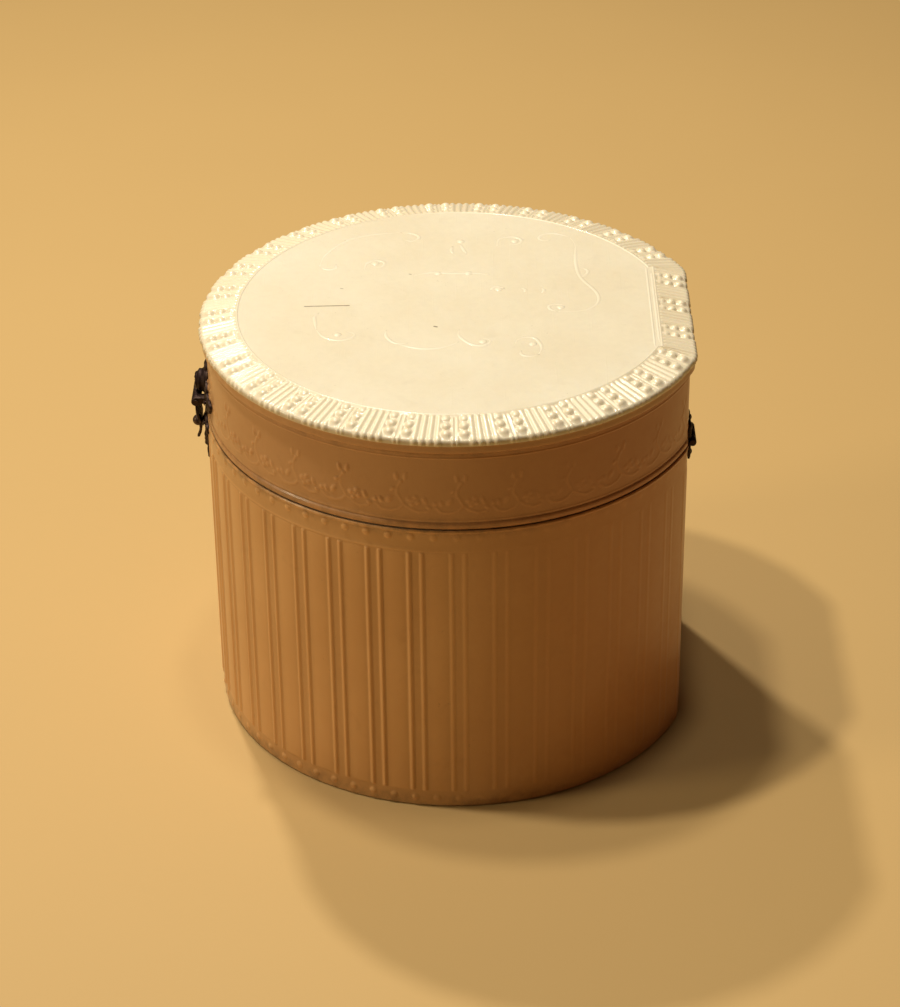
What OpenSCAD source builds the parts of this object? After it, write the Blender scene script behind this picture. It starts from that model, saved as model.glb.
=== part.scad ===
/* [Box] */
// Diameter over the rolled rim of the lid
rim_d = 150; // [147:0.5:153]
// Distance from the box's axis to the flat back of the rim
rim_flat = 69.8; // [69.3:0.1:70.5]
// Radius that rounds the two corners of the flat back
corner_r = 12; // [8:0.5:16]
// Height of the joint line between the body and the lid
seam_z = 95.6; // [92:0.2:110]
// Height from the joint line to the edge of the lid's top
lid_h = 29.3; // [28.5:0.1:34]
// Height of the lid's raised centre above its edge
crown_h = 2.5; // [2:0.1:3]
// Width of the sloping border round the lid's top
border_w = 11; // [9:0.5:13]

/* [Walls] */
// Thickness of the pasteboard walls and discs
board_t = 2.4; // [2.2:0.1:2.6]
// Thickness of the celluloid sheet
skin_t = 0.5; // [0.4:0.05:0.6]
// Thickness of the lining
lining_t = 0.5; // [0.4:0.05:0.6]
// Height of the rolled rim's side
rim_h = 4.4; // [4.2:0.1:4.8]
// Thickness of the pad on the floor
floor_pad_h = 4.5; // [3:0.5:7]
// Thickness of the pad inside the lid
lid_pad_h = 3.9; // [3:0.1:5]

/* [Hinges] */
// Distance of each hinge's middle from the box's middle
hinge_x = 20.5; // [12:0.5:20.5]
// Width of each hinge
hinge_w = 10; // [9:0.5:10]
// Height of one leaf, measured from the hinge's axis
leaf_h = 6.4; // [5.8:0.1:8]
// Radius of the hinge's barrel
barrel_r = 1.15; // [1.1:0.05:1.2]

/* [Clasp] */
// Height of the hasp's pivot above the joint line
hasp_pivot_h = 3.4; // [3.3:0.1:3.6]
// Height of the hasp, from its pivot to the tip of its tail
hasp_len = 15.1; // [14.5:0.1:15.5]
// Radius of the ball that the hasp is lifted by
knob_r = 1.7; // [1.5:0.1:1.8]

/* [Hidden] */

$fn = 96;
glue = 0.05;                          // gap that glue or paste fills
rim_r = rim_d / 2;
lid_r = rim_r - 1.8;                  // outside of the lid's band
body_r = rim_r - 1.3;                 // outside of the body's cover
wall_flat = rim_flat - 1.7;           // flat back of the body and of the lid's band
least_corner = 0.4;                   // smallest corner radius of an inner layer
edge_z = seam_z + lid_h;              // edge of the lid's top
top_z = edge_z + crown_h;
rim_z = edge_z - rim_h;               // underside of the rolled rim
seam_gap = 0.3;
body_top = seam_z - seam_gap / 2;
lid_bottom = seam_z + seam_gap / 2;
border_flat_w = border_w - 1.3;       // the border is narrower along the flat back

board_in = skin_t + glue;             // depth of the board under the celluloid
lining_in = board_in + board_t + glue;
inside_in = lining_in + lining_t;
pad_gap = 0.3;
roll_in = board_in + 0.75;            // depth of the board in the rolled rim

paper_h = 0.4;
base_z = paper_h + glue;
floor_z = base_z + board_t;
shelf_z = rim_z + skin_t + glue;      // underside of the lid's board
crown_z = shelf_z + board_t - 0.2 + glue;
bead_h = 2.1;                         // raised bead along the lid's lower edge
bead_out = 0.6;

axis_y = wall_flat + 0.1 + barrel_r;
leaf_t = 0.8;
leaf_gap = 0.05;                      // leaf to wall
knuckle_gap = 0.15;
pin_r = 0.6;
pin_play = 0.05;                      // running clearance of the hinge pins
lid_knuckle_w = 3.5;
pin_head_r = 0.95;
pin_head_h = 0.4;
nail_r = 0.5;
nail_play = 0.02;
nail_head_r = 0.95;
nail_head_h = 0.45;
nail_dome_r = 1.25;
nail_deep = 2.7;                      // how far a nail goes into the wall
leaf_nail_x = 2.7;
leaf_nail_z = 4.2;

plate_t = 1.2;                        // stamped plate, over its relief
plate_gap = 0.05;
pivot_z = seam_z + hasp_pivot_h;
pivot_out = 3.3;                      // pivot to the body's nominal face
face_y = -(body_r - 0.2);             // nominal face that the clasp's depths are given from
pivot_y = face_y - pivot_out;
boss_r = 4.3;                         // pressed boss on the lid's plate
boss_face_r = 2.7;
boss_h = 4.5;
boss_up = 4.4;
ear_r = 1.4;
ear_in = 3.15;
ear_out = 6;
web_w = 3.2;                          // webs that carry the ears
ridge_r = 1.5;                        // half-round ridge on the catch plate's tongue
hasp_half = 3;
hasp_t = 0.7;
hasp_pin_r = 0.55;
hasp_pin_head_r = 0.85;
hasp_pin_head_h = 0.35;
knob_z = pivot_z - 9.3;
knob_shank_r = 0.6;
hasp_flat_out = 3;                    // depth of the hasp's flat stretch at the knob
stud_z = pivot_z - 8;
stud_r = 1.3;
stud_h = 0.5;
stud_dome_r = 2;
clasp_nail_x = 11;
clasp_nail_z = pivot_z + 2.8;
catch_nail_x = 7.4;
catch_nail_z = pivot_z - 6.1;

ivory = [0.93, 0.86, 0.70];
board = [0.62, 0.52, 0.38];
satin = [0.85, 0.72, 0.62];
bronze = [0.23, 0.16, 0.13];
kraft = [0.70, 0.60, 0.45];

// Middle of a corner arc of radius c, measured sideways
function corner_x(r, flat, c) = sqrt(pow(r - c, 2) - pow(flat - c, 2));

// Round plan with one flat side towards +Y and its two corners cut off
module cut_plan(r, flat, c) {
    x = corner_x(r, flat, c);
    chord = [x, flat - c] * r / (r - c) - [x, flat];
    difference() {
        intersection() {
            circle(r, $fn = 240);
            translate([-r - 1, -r - 1]) square([2 * r + 2, r + 1 + flat]);
        }
        for (m = [0, 1]) mirror([m, 0]) translate([x, flat])
            rotate(atan2(chord[1], chord[0])) translate([-30, 0]) square([80, 30]);
    }
}

// The same plan with its corners rounded
module plan(r, flat, c) {
    cut_plan(r, flat, c);
    for (s = [-1, 1]) translate([s * corner_x(r, flat, c), flat - c]) circle(c, $fn = 96);
}

// The same plan, set in by a depth all round
module plan_in(r, depth) {
    plan(r - depth, wall_flat - depth, max(corner_r - depth, least_corner));
}

// A wall that follows the plan between two depths
module wall(r, depth_out, depth_in, z0, z1) {
    translate([0, 0, z0]) linear_extrude(z1 - z0) difference() {
        plan_in(r, depth_out);
        plan_in(r, depth_in);
    }
}

module slab(r, depth, z0, z1) {
    translate([0, 0, z0]) linear_extrude(z1 - z0) plan_in(r, depth);
}

// The lid's top: an upright edge, then a slope up to a level centre
module lid_top_form(inset, z0) {
    r = rim_r - inset;
    flat = rim_flat - inset;
    shoulder = edge_z - inset;
    peak = top_z - inset;
    run = 0.5;                        // part of the slope drawn past each of its edges
    low = shoulder - run * crown_h;
    high = peak + run * crown_h;
    intersection() {
        translate([0, 0, z0]) linear_extrude(peak - z0) cut_plan(r, flat, corner_r - inset);
        rotate_extrude($fn = 240) polygon([[0, z0 - 1], [r + run * border_w, z0 - 1],
            [r + run * border_w, low], [r - (1 + run) * border_w, high], [0, high]]);
        translate([-r - 1, 0, 0]) rotate([90, 0, 90]) linear_extrude(2 * r + 2)
            polygon([[-r - 1, z0 - 1], [flat + run * border_flat_w, z0 - 1],
                [flat + run * border_flat_w, low],
                [flat - (1 + run) * border_flat_w, high], [-r - 1, high]]);
    }
}

// ---- body ----

module base_paper() color(kraft) slab(body_r, 1, 0, paper_h);

module base_board() color(board) slab(body_r, lining_in, base_z, floor_z);

module body_wall() color(board) difference() {
    wall(body_r, board_in, board_in + board_t, base_z, body_top - glue);
    hinge_nail_holes(-1);
    catch_holes();
}

module body_cover() color(ivory) difference() {
    wall(body_r, 0, skin_t, base_z, body_top);
    hinge_nail_holes(-1);
    catch_holes();
}

module body_lining() color(satin)
    wall(body_r, lining_in, inside_in, floor_z + glue, body_top - glue);

module base_pad() color(satin)
    slab(body_r, inside_in + pad_gap, floor_z + glue, floor_z + glue + floor_pad_h);

// ---- lid ----

module lid_wall() color(board) difference() {
    wall(lid_r, board_in, board_in + board_t, lid_bottom + glue, shelf_z - glue);
    hinge_nail_holes(1);
    clasp_holes();
}

// Plan of the board and the crown inside the rolled rim
module roll_plan() cut_plan(rim_r - roll_in, rim_flat - roll_in, corner_r - roll_in);

module lid_board() color(board) translate([0, 0, shelf_z]) linear_extrude(board_t - 0.2)
    roll_plan();

module lid_crown() color(kraft) intersection() {
    lid_top_form(board_in, crown_z);
    translate([0, 0, crown_z - 1]) linear_extrude(top_z) roll_plan();
}

module lid_top_cover() color(ivory) difference() {
    lid_top_form(0, rim_z);
    lid_top_form(skin_t, rim_z + skin_t);
    translate([0, 0, rim_z - 1]) linear_extrude(skin_t + 2)
        plan(lid_r + 0.1, wall_flat + 0.1, corner_r);
}

module lid_band() color(ivory) difference() {
    union() {
        wall(lid_r, 0, skin_t, lid_bottom, shelf_z - 2 * glue);
        translate([0, 0, lid_bottom]) linear_extrude(bead_h) difference() {
            plan(lid_r + bead_out, wall_flat, corner_r);
            plan_in(lid_r, skin_t);
        }
    }
    hinge_nail_holes(1);
    clasp_holes();
}

module lid_lining() color(satin)
    wall(lid_r, lining_in, inside_in, lid_bottom + glue, shelf_z - glue);

module lid_inner_pad() color(satin)
    slab(lid_r, inside_in + pad_gap, shelf_z - glue - lid_pad_h, shelf_z - glue);

// ---- hinges on the flat back ----

// side is -1 for a leaf on the body and 1 for a leaf on the lid
module leaf(x, side) {
    knuckles = side > 0
        ? [[-lid_knuckle_w / 2, lid_knuckle_w / 2]]
        : [[-hinge_w / 2, -lid_knuckle_w / 2 - knuckle_gap],
            [lid_knuckle_w / 2 + knuckle_gap, hinge_w / 2]];
    clear = barrel_r + knuckle_gap;
    translate([x, 0, seam_z]) difference() {
        union() {
            translate([-hinge_w / 2, wall_flat + leaf_gap, side > 0 ? clear : -leaf_h])
                cube([hinge_w, leaf_t, leaf_h - clear]);
            for (k = knuckles) {
                translate([k[0], axis_y, 0]) rotate([0, 90, 0])
                    cylinder(h = k[1] - k[0], r = barrel_r, $fn = 48);
                translate([k[0], wall_flat + leaf_gap, side > 0 ? 0 : -clear])
                    cube([k[1] - k[0], leaf_t, clear]);
            }
        }
        translate([-hinge_w, axis_y, 0]) rotate([0, 90, 0])
            cylinder(h = 2 * hinge_w, r = pin_r + pin_play, $fn = 48);
        for (s = [-1, 1]) translate([s * leaf_nail_x, 0, side * leaf_nail_z])
            back_nail_hole();
    }
}

module back_nail_hole() translate([0, wall_flat - nail_deep - 0.05, 0]) rotate([-90, 0, 0])
    cylinder(h = nail_deep + 3, r = nail_r + nail_play, $fn = 32);

module hinge_nail_holes(side) {
    for (x = [-hinge_x, hinge_x], s = [-1, 1])
        translate([x + s * leaf_nail_x, 0, seam_z + side * leaf_nail_z]) back_nail_hole();
}

module left_hinge_body_leaf() color(bronze) leaf(hinge_x, -1);
module left_hinge_lid_leaf() color(bronze) leaf(hinge_x, 1);
module right_hinge_body_leaf() color(bronze) leaf(-hinge_x, -1);
module right_hinge_lid_leaf() color(bronze) leaf(-hinge_x, 1);

// A headed pin along X, centred
module headed_pin(r, head_r, head_h, half) rotate([0, 90, 0]) {
    translate([0, 0, -half - head_h]) cylinder(h = 2 * (half + head_h), r = r, $fn = 48);
    for (s = [-1, 1]) translate([0, 0, s * (half + head_h / 2 + pin_play)])
        cylinder(h = head_h, r = head_r, center = true, $fn = 48);
}

module hinge_pins() color(bronze) for (x = [-hinge_x, hinge_x])
    translate([x, axis_y, seam_z]) headed_pin(pin_r, pin_head_r, pin_head_h, hinge_w / 2);

// A domed nail that points along +Z, with the underside of its head at z = 0
module nail(deep) rotate_extrude($fn = 32) union() {
    translate([0, -nail_head_h]) intersection() {
        square([nail_head_r, nail_head_h]);
        translate([0, nail_dome_r]) circle(nail_dome_r, $fn = 64);
    }
    translate([0, -nail_head_h / 2]) square([nail_r, deep + nail_head_h / 2]);
}

module hinge_nails(side) for (x = [-hinge_x, hinge_x], s = [-1, 1])
    translate([x + s * leaf_nail_x, wall_flat + leaf_gap + leaf_t + 0.01,
        seam_z + side * leaf_nail_z]) rotate([90, 0, 0]) nail(nail_deep + leaf_t);

module hinge_body_nails() color(bronze) hinge_nails(-1);
module hinge_lid_nails() color(bronze) hinge_nails(1);

// ---- clasp on the round front ----

// A plate with a drawn outline, wrapped on the front of a wall of radius r
module wrapped(r) intersection() {
    difference() {
        cylinder(h = 2 * seam_z, r = r + plate_gap + plate_t, $fn = 240);
        translate([0, 0, -1]) cylinder(h = 2 * seam_z + 2, r = r + plate_gap, $fn = 240);
    }
    translate([0, -r / 2, 0]) rotate([90, 0, 0]) linear_extrude(r) children();
}

// Outline of the lid's plate: scrolled wings and a pointed finial
module clasp_outline() translate([0, pivot_z]) {
    translate([-12, -0.7]) square([24, 2.3]);
    translate([0, 4.3]) circle(4.8);
    translate([0, 8.2]) circle(2.2);
    polygon([[-1.9, 9.3], [0, 11.5], [1.9, 9.3]]);
    for (s = [-1, 1]) {
        translate([s * 5.8, 3.4]) circle(3.1);
        translate([s * clasp_nail_x, clasp_nail_z - pivot_z]) circle(2.7);
        translate([s * 15.2, 3.6]) circle(2.1);
        translate([s * 17.6, 4.8]) circle(1.1);
    }
}

module clasp_boss() translate([0, face_y + 0.7, pivot_z + boss_up]) rotate([90, 0, 0])
    cylinder(h = boss_h, r1 = boss_r, r2 = boss_face_r, $fn = 64);

module clasp_plate() color(bronze) difference() {
    union() {
        wrapped(lid_r) clasp_outline();
        difference() {
            clasp_boss();
            cylinder(h = 2 * seam_z, r = lid_r + plate_gap, $fn = 240);
        }
        for (s = [-1, 1]) {
            translate([s * (ear_in + ear_out) / 2, pivot_y, pivot_z]) rotate([0, 90, 0])
                cylinder(h = ear_out - ear_in, r = ear_r, center = true, $fn = 48);
            translate([s * (ear_in + ear_out) / 2 - (ear_out - ear_in) / 2, pivot_y,
                pivot_z - 0.7]) cube([ear_out - ear_in, web_w, 2.1]);
        }
    }
    translate([0, 0, pivot_z - 20]) cylinder(h = 40, r = lid_r + plate_gap, $fn = 240);
    translate([-9, pivot_y, pivot_z]) rotate([0, 90, 0])
        cylinder(h = 18, r = hasp_pin_r + pin_play, $fn = 48);
    translate([-ear_in, pivot_y - 1.7, pivot_z - 1.7]) cube([2 * ear_in, 3.3, 3.4]);
    clasp_holes();
}

// Nail holes straight towards the axis of the box
module front_nail_hole(x, z, r) rotate([0, 0, asin(x / r)]) translate([0, -r, z])
    rotate([90, 0, 0]) translate([0, 0, -nail_deep - 0.05])
        cylinder(h = nail_deep + 3, r = nail_r + nail_play, $fn = 32);

module front_nail(x, z, r) rotate([0, 0, asin(x / r)])
    translate([0, -r - plate_gap - plate_t - 0.01, z]) rotate([-90, 0, 0])
        nail(nail_deep + plate_t);

module clasp_holes() for (s = [-1, 1]) front_nail_hole(s * clasp_nail_x, clasp_nail_z, lid_r);
module clasp_nails() color(bronze)
    for (s = [-1, 1]) front_nail(s * clasp_nail_x, clasp_nail_z, lid_r);

module clasp_pin() color(bronze) translate([0, pivot_y, pivot_z])
    headed_pin(hasp_pin_r, hasp_pin_head_r, hasp_pin_head_h, ear_out);

// Height and depth of the hasp's outer face, from the pivot down to the flared tail
hasp_face = [[0, 0.4], [-1.5, 0.6], [-4, 0.35], [-7, -0.1], [-7.5, hasp_flat_out - pivot_out],
    [-11.2, hasp_flat_out - pivot_out], [-13, 0], [-hasp_len, 0.9]];

module hasp_section() polygon(concat(
    [for (p = hasp_face) [-p[1], p[0]]],
    [for (i = [len(hasp_face) - 1:-1:0]) [-hasp_face[i][1] + hasp_t, hasp_face[i][0]]]));

module hasp_outline() {
    translate([-hasp_half, -3]) square([2 * hasp_half, 3]);
    translate([0, -5.4]) circle(4.6);
    translate([0, knob_z - pivot_z]) circle(2.9);
    polygon([[-1.6, -11], [1.6, -11], [0.8, 0.8 - hasp_len], [-0.8, 0.8 - hasp_len]]);
    translate([0, 0.9 - hasp_len]) circle(0.9, $fn = 32);
}

module hasp() color(bronze) translate([0, pivot_y, pivot_z]) difference() {
    union() {
        intersection() {
            translate([-6, 0, 0]) rotate([90, 0, 90]) linear_extrude(12) hasp_section();
            translate([0, 5, 0]) rotate([90, 0, 0]) linear_extrude(10) hasp_outline();
        }
        rotate([0, 90, 0]) cylinder(h = 2 * hasp_half, r = ear_r, center = true, $fn = 48);
    }
    rotate([0, 90, 0])
        cylinder(h = 3 * hasp_half, r = hasp_pin_r + pin_play, center = true, $fn = 48);
    translate([0, 3, knob_z - pivot_z]) rotate([90, 0, 0])
        cylinder(h = 8, r = knob_shank_r + nail_play, $fn = 32);
}

// The ball and its shank, turned about one axis
module hasp_knob() color(bronze) translate([0, face_y - hasp_flat_out, knob_z])
    rotate([90, 0, 0]) rotate_extrude($fn = 48) {
        intersection() {
            translate([0, 0.5]) circle(knob_r, $fn = 64);
            translate([0, 0.02]) square(2 * knob_r);
        }
        translate([0, -hasp_t]) square([knob_shank_r, hasp_t + 1]);
    }

// Outline of the body's plate: two lobes, a tongue and a leaf-shaped tip
module catch_outline() translate([0, pivot_z]) {
    translate([-8, -7.2]) square([16, 3.2]);
    translate([0, -8.2]) circle(4.6);
    for (s = [-1, 1]) {
        translate([s * catch_nail_x, catch_nail_z - pivot_z]) circle(2.3);
        translate([s * 10.3, -6.7]) circle(1.6);
    }
    polygon([[-3, -10], [3, -10], [1.9, -18.6], [-1.9, -18.6]]);
    translate([0, -19.2]) circle(2.3);
    polygon([[-2.1, -20.1], [2.1, -20.1], [0, -22.5]]);
}

module catch_holes() {
    for (s = [-1, 1]) front_nail_hole(s * catch_nail_x, catch_nail_z, body_r);
    front_nail_hole(0, stud_z, body_r);
}

module catch_plate() color(bronze) difference() {
    union() {
        wrapped(body_r) catch_outline();
        difference() {
            translate([0, -body_r - plate_gap - 0.2, pivot_z - 18.2])
                cylinder(h = 5.6, r = ridge_r, $fn = 48);
            cylinder(h = 2 * seam_z, r = body_r + plate_gap, $fn = 240);
        }
    }
    catch_holes();
}

module catch_nails() color(bronze)
    for (s = [-1, 1]) front_nail(s * catch_nail_x, catch_nail_z, body_r);

// The stud that the hasp closes over
module catch_stud() color(bronze)
    translate([0, -body_r - plate_gap - plate_t - 0.01, stud_z]) rotate([-90, 0, 0])
        rotate_extrude($fn = 32) {
            translate([0, -stud_h]) intersection() {
                square([stud_r, stud_h]);
                translate([0, stud_dome_r]) circle(stud_dome_r, $fn = 64);
            }
            translate([0, -0.2]) square([nail_r, nail_deep + plate_t + 0.2]);
        }

base_paper();
base_board();
body_wall();
body_cover();
body_lining();
base_pad();
lid_wall();
lid_board();
lid_crown();
lid_top_cover();
lid_band();
lid_lining();
lid_inner_pad();
left_hinge_body_leaf();
left_hinge_lid_leaf();
right_hinge_body_leaf();
right_hinge_lid_leaf();
hinge_pins();
hinge_body_nails();
hinge_lid_nails();
clasp_plate();
clasp_nails();
clasp_pin();
hasp();
hasp_knob();
catch_plate();
catch_nails();
catch_stud();
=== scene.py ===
"""Bobbin box: an embossed celluloid box with one flat side, a hinged lid and a stamped bronze clasp.

Run as a script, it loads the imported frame, makes each piece round it and sets the stage.
"""

import math

import bmesh
import bpy
import numpy as np
from mathutils import Matrix, Vector


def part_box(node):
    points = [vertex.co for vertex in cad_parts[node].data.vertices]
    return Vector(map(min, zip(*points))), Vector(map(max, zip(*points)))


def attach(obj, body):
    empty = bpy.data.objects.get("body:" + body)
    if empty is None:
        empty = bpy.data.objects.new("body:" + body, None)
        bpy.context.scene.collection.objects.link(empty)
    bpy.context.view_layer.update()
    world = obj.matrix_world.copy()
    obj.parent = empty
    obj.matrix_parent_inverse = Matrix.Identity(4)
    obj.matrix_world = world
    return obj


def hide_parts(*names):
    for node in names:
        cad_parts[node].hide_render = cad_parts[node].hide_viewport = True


bl_info = {
    "name": "Bobbin box",
    "version": (1, 0, 0),
    "blender": (4, 5, 0),
    "location": "3D View > Sidebar > Bobbin box",
    "description": "Makes an embossed celluloid box with a hinged lid and a stamped clasp",
    "category": "Object",
}

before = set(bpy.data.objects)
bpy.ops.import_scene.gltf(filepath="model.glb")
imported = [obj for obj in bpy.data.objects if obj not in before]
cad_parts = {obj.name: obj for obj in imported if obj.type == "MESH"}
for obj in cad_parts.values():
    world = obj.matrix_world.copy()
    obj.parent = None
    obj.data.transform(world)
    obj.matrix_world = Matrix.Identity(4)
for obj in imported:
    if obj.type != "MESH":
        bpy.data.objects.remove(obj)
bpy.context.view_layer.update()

MM = 0.001


def reach(node):
    """The lowest and highest corner of a CAD node, in millimetres."""
    low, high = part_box(node)
    return np.array(low) / MM, np.array(high) / MM


# ---- sizes that the frame gives, in millimetres ----

TOP_BOX, BODY_BOX, BAND_BOX = reach("lid_top_cover"), reach("body_cover"), reach("lid_band")
RIM_R = TOP_BOX[1][0]
RIM_FLAT = TOP_BOX[1][1]
TOP_Z = TOP_BOX[1][2]
RIM_Z = TOP_BOX[0][2]
BODY_R = BODY_BOX[1][0]
WALL_FLAT = BODY_BOX[1][1]
BODY_LOW, BODY_TOP = BODY_BOX[0][2], BODY_BOX[1][2]
BAND_LOW, BAND_TOP = BAND_BOX[0][2], BAND_BOX[1][2]
LID_SHEET = 0.55                      # thickness of the lid's band, outside its wall
LID_R = reach("lid_wall")[1][0] + LID_SHEET
LINING_BOX, LID_LINING_BOX = reach("body_lining"), reach("lid_lining")
PIN_BOX = reach("clasp_pin")
PIVOT_Y = (PIN_BOX[0][1] + PIN_BOX[1][1]) / 2
PIVOT_Z = (PIN_BOX[0][2] + PIN_BOX[1][2]) / 2
HINGE_PIN_BOX = reach("hinge_pins")
AXIS_Y = (HINGE_PIN_BOX[0][1] + HINGE_PIN_BOX[1][1]) / 2
AXIS_Z = (HINGE_PIN_BOX[0][2] + HINGE_PIN_BOX[1][2]) / 2
CORNER_R = 12.0
EDGE_Z = TOP_Z - 2.5                  # the border's outer edge
RIM_SIDE_Z = EDGE_Z - 1.9             # below this the rolled rim takes the band's shaded colour, as painted shade
PANEL_Z = TOP_Z - 0.2                 # the level centre of the top
BORDER_W = 11.0
BORDER_FLAT_W = 9.7
PLATE_GAP = 0.05
WALL_IN = 3.0                         # from a wall's outer face in to its lining


# ---- the round plan with one flat side ----

def corner_middle(r, flat, corner):
    """How far sideways the middle of a corner arc is."""
    return math.sqrt((r - corner) ** 2 - (flat - corner) ** 2)


def plan_path(r, flat, corner, count):
    """Points evenly spaced round the plan from the front, with the way out of each.

    Gives points, normals, distance along, and how far round the corner to the flat (0 on the
    round wall, 1 on the flat).
    """
    cx = corner_middle(r, flat, corner)
    turn = math.atan2(flat - corner, cx)
    lengths = [r * (turn + math.pi / 2), corner * (math.pi / 2 - turn), 2 * cx]
    ends = np.cumsum([lengths[0], lengths[1], lengths[2], lengths[1], lengths[0]])
    s = np.arange(count) / count * ends[-1]
    half = np.minimum(s, ends[-1] - s)
    side = np.where(s <= ends[-1] / 2, 1.0, -1.0)
    round_a = half / r - math.pi / 2
    corner_a = turn + (half - lengths[0]) / corner
    on_round, on_corner = half <= lengths[0], half <= ends[1]
    a = np.where(on_round, round_a, np.where(on_corner, corner_a, math.pi / 2))
    n = np.stack([np.cos(a), np.sin(a)], 1)
    flat_x = cx - (half - ends[1])
    x = np.where(on_round, r * n[:, 0], np.where(on_corner, cx + corner * n[:, 0], flat_x))
    y = np.where(on_round, r * n[:, 1], np.where(on_corner, flat - corner + corner * n[:, 1], flat))
    way = np.clip((half - lengths[0]) / lengths[1], 0, 1)
    n[:, 0] *= side
    return {"p": np.stack([x * side, y], 1), "n": n, "s": s, "way": way, "total": ends[-1],
            "corner_from": lengths[0], "corner_to": ends[1], "cx": cx}


def smooth(value, low, high):
    """0 below low, 1 above high and a smooth rise between them."""
    t = np.clip((value - low) / (high - low), 0, 1)
    return t * t * (3 - 2 * t)


# ---- meshes ----

def add_object(name, mesh):
    obj = bpy.data.objects.new(name, mesh)
    bpy.context.scene.collection.objects.link(obj)
    return obj


def new_mesh(name, points, faces, attributes=None):
    """A smooth-shaded mesh from points in millimetres, turned so that its faces point outwards."""
    points = np.asarray(points, float) * MM
    mesh = bpy.data.meshes.new(name)
    mesh.from_pydata(points.tolist(), [], faces)
    for key, values in (attributes or {}).items():
        values = np.asarray(values, np.float32)
        if values.ndim == 2:
            mesh.attributes.new(key, "FLOAT_VECTOR", "POINT").data.foreach_set("vector", values.ravel())
        else:
            mesh.attributes.new(key, "FLOAT", "POINT").data.foreach_set("value", values)
    mesh.shade_smooth()
    mesh.validate()
    mesh.update()
    return mesh


def volume(mesh):
    bm = bmesh.new()
    bm.from_mesh(mesh)
    found = bm.calc_volume(signed=True)
    bm.free()
    return found


def outwards(mesh):
    if volume(mesh) < 0:
        mesh.flip_normals()
    return mesh


def ring_mesh(name, rings, attributes=None, poles=False):
    """A shell from rings of points. Its last ring joins its first, or with poles each end closes
    on one point, and the rings start and end there."""
    count, columns = rings.shape[:2]
    points = rings.reshape(-1, 3)
    index = np.arange(count * columns).reshape(count, columns)
    beside = np.roll(index, -1, 1)
    attributes = {k: np.asarray(v).reshape(count * columns, *np.asarray(v).shape[2:])
                  for k, v in (attributes or {}).items()}
    if not poles:
        index, beside = np.vstack([index, index[:1]]), np.vstack([beside, beside[:1]])
    faces = np.stack([index[:-1], beside[:-1], beside[1:], index[1:]], -1).reshape(-1, 4).tolist()
    if poles:
        ends = [rings[0].mean(0), rings[-1].mean(0)]
        points = np.vstack([points, ends])
        first, last = count * columns, count * columns + 1
        faces += [[first, b, a] for a, b in zip(index[0].tolist(), beside[0].tolist())]
        faces += [[last, a, b] for a, b in zip(index[-1].tolist(), beside[-1].tolist())]
        for k, v in attributes.items():
            attributes[k] = np.concatenate([v, v[:1], v[-1:]])
    return outwards(new_mesh(name, points, faces, attributes))


def lathe(name, profile, origin, axis, segments=40):
    """A turned piece: profile is (distance along the axis, radius), starting and ending on it."""
    axis = Vector(axis).normalized()
    side = axis.orthogonal().normalized()
    up = axis.cross(side)
    a = np.linspace(0, 2 * math.pi, segments, endpoint=False)
    around = np.cos(a)[:, None] * np.array(side) + np.sin(a)[:, None] * np.array(up)
    inner = [p for p in profile if p[1] > 1e-6]
    rings = np.array([np.array(origin) + h * np.array(axis) + r * around for h, r in inner])
    return ring_mesh(name, rings, poles=True)


def joined(name, meshes):
    """Several meshes as one object."""
    bm = bmesh.new()
    for mesh in meshes:
        bm.from_mesh(mesh)
    out = bpy.data.meshes.new(name)
    bm.to_mesh(out)
    bm.free()
    for mesh in meshes:
        bpy.data.meshes.remove(mesh)
    return add_object(name, out)


def segment_gap(u, v, a, b):
    """Distance of points (u, v) from the stretch between a and b."""
    a, b = np.array(a, float), np.array(b, float)
    d = b - a
    t = np.clip(((u - a[0]) * d[0] + (v - a[1]) * d[1]) / max(d @ d, 1e-9), 0, 1)
    return np.hypot(u - a[0] - t * d[0], v - a[1] - t * d[1])


def line_gap(u, v, points):
    return np.min([segment_gap(u, v, a, b) for a, b in zip(points[:-1], points[1:])], 0)


def scroll(middle, radius, start, turns, ends=0.25, steps=14):
    """A spiral that winds in from radius; turns may be negative."""
    t = np.linspace(0, 1, steps)
    r = radius * (1 - (1 - ends) * t)
    a = start + turns * 2 * math.pi * t
    return np.stack([middle[0] + r * np.cos(a), middle[1] + r * np.sin(a)], 1)


def ridge(gap, half, height):
    """A soft raised line of a given half width."""
    return height * np.clip(1 - (gap / half) ** 2, 0, 1) ** 1.2


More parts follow.
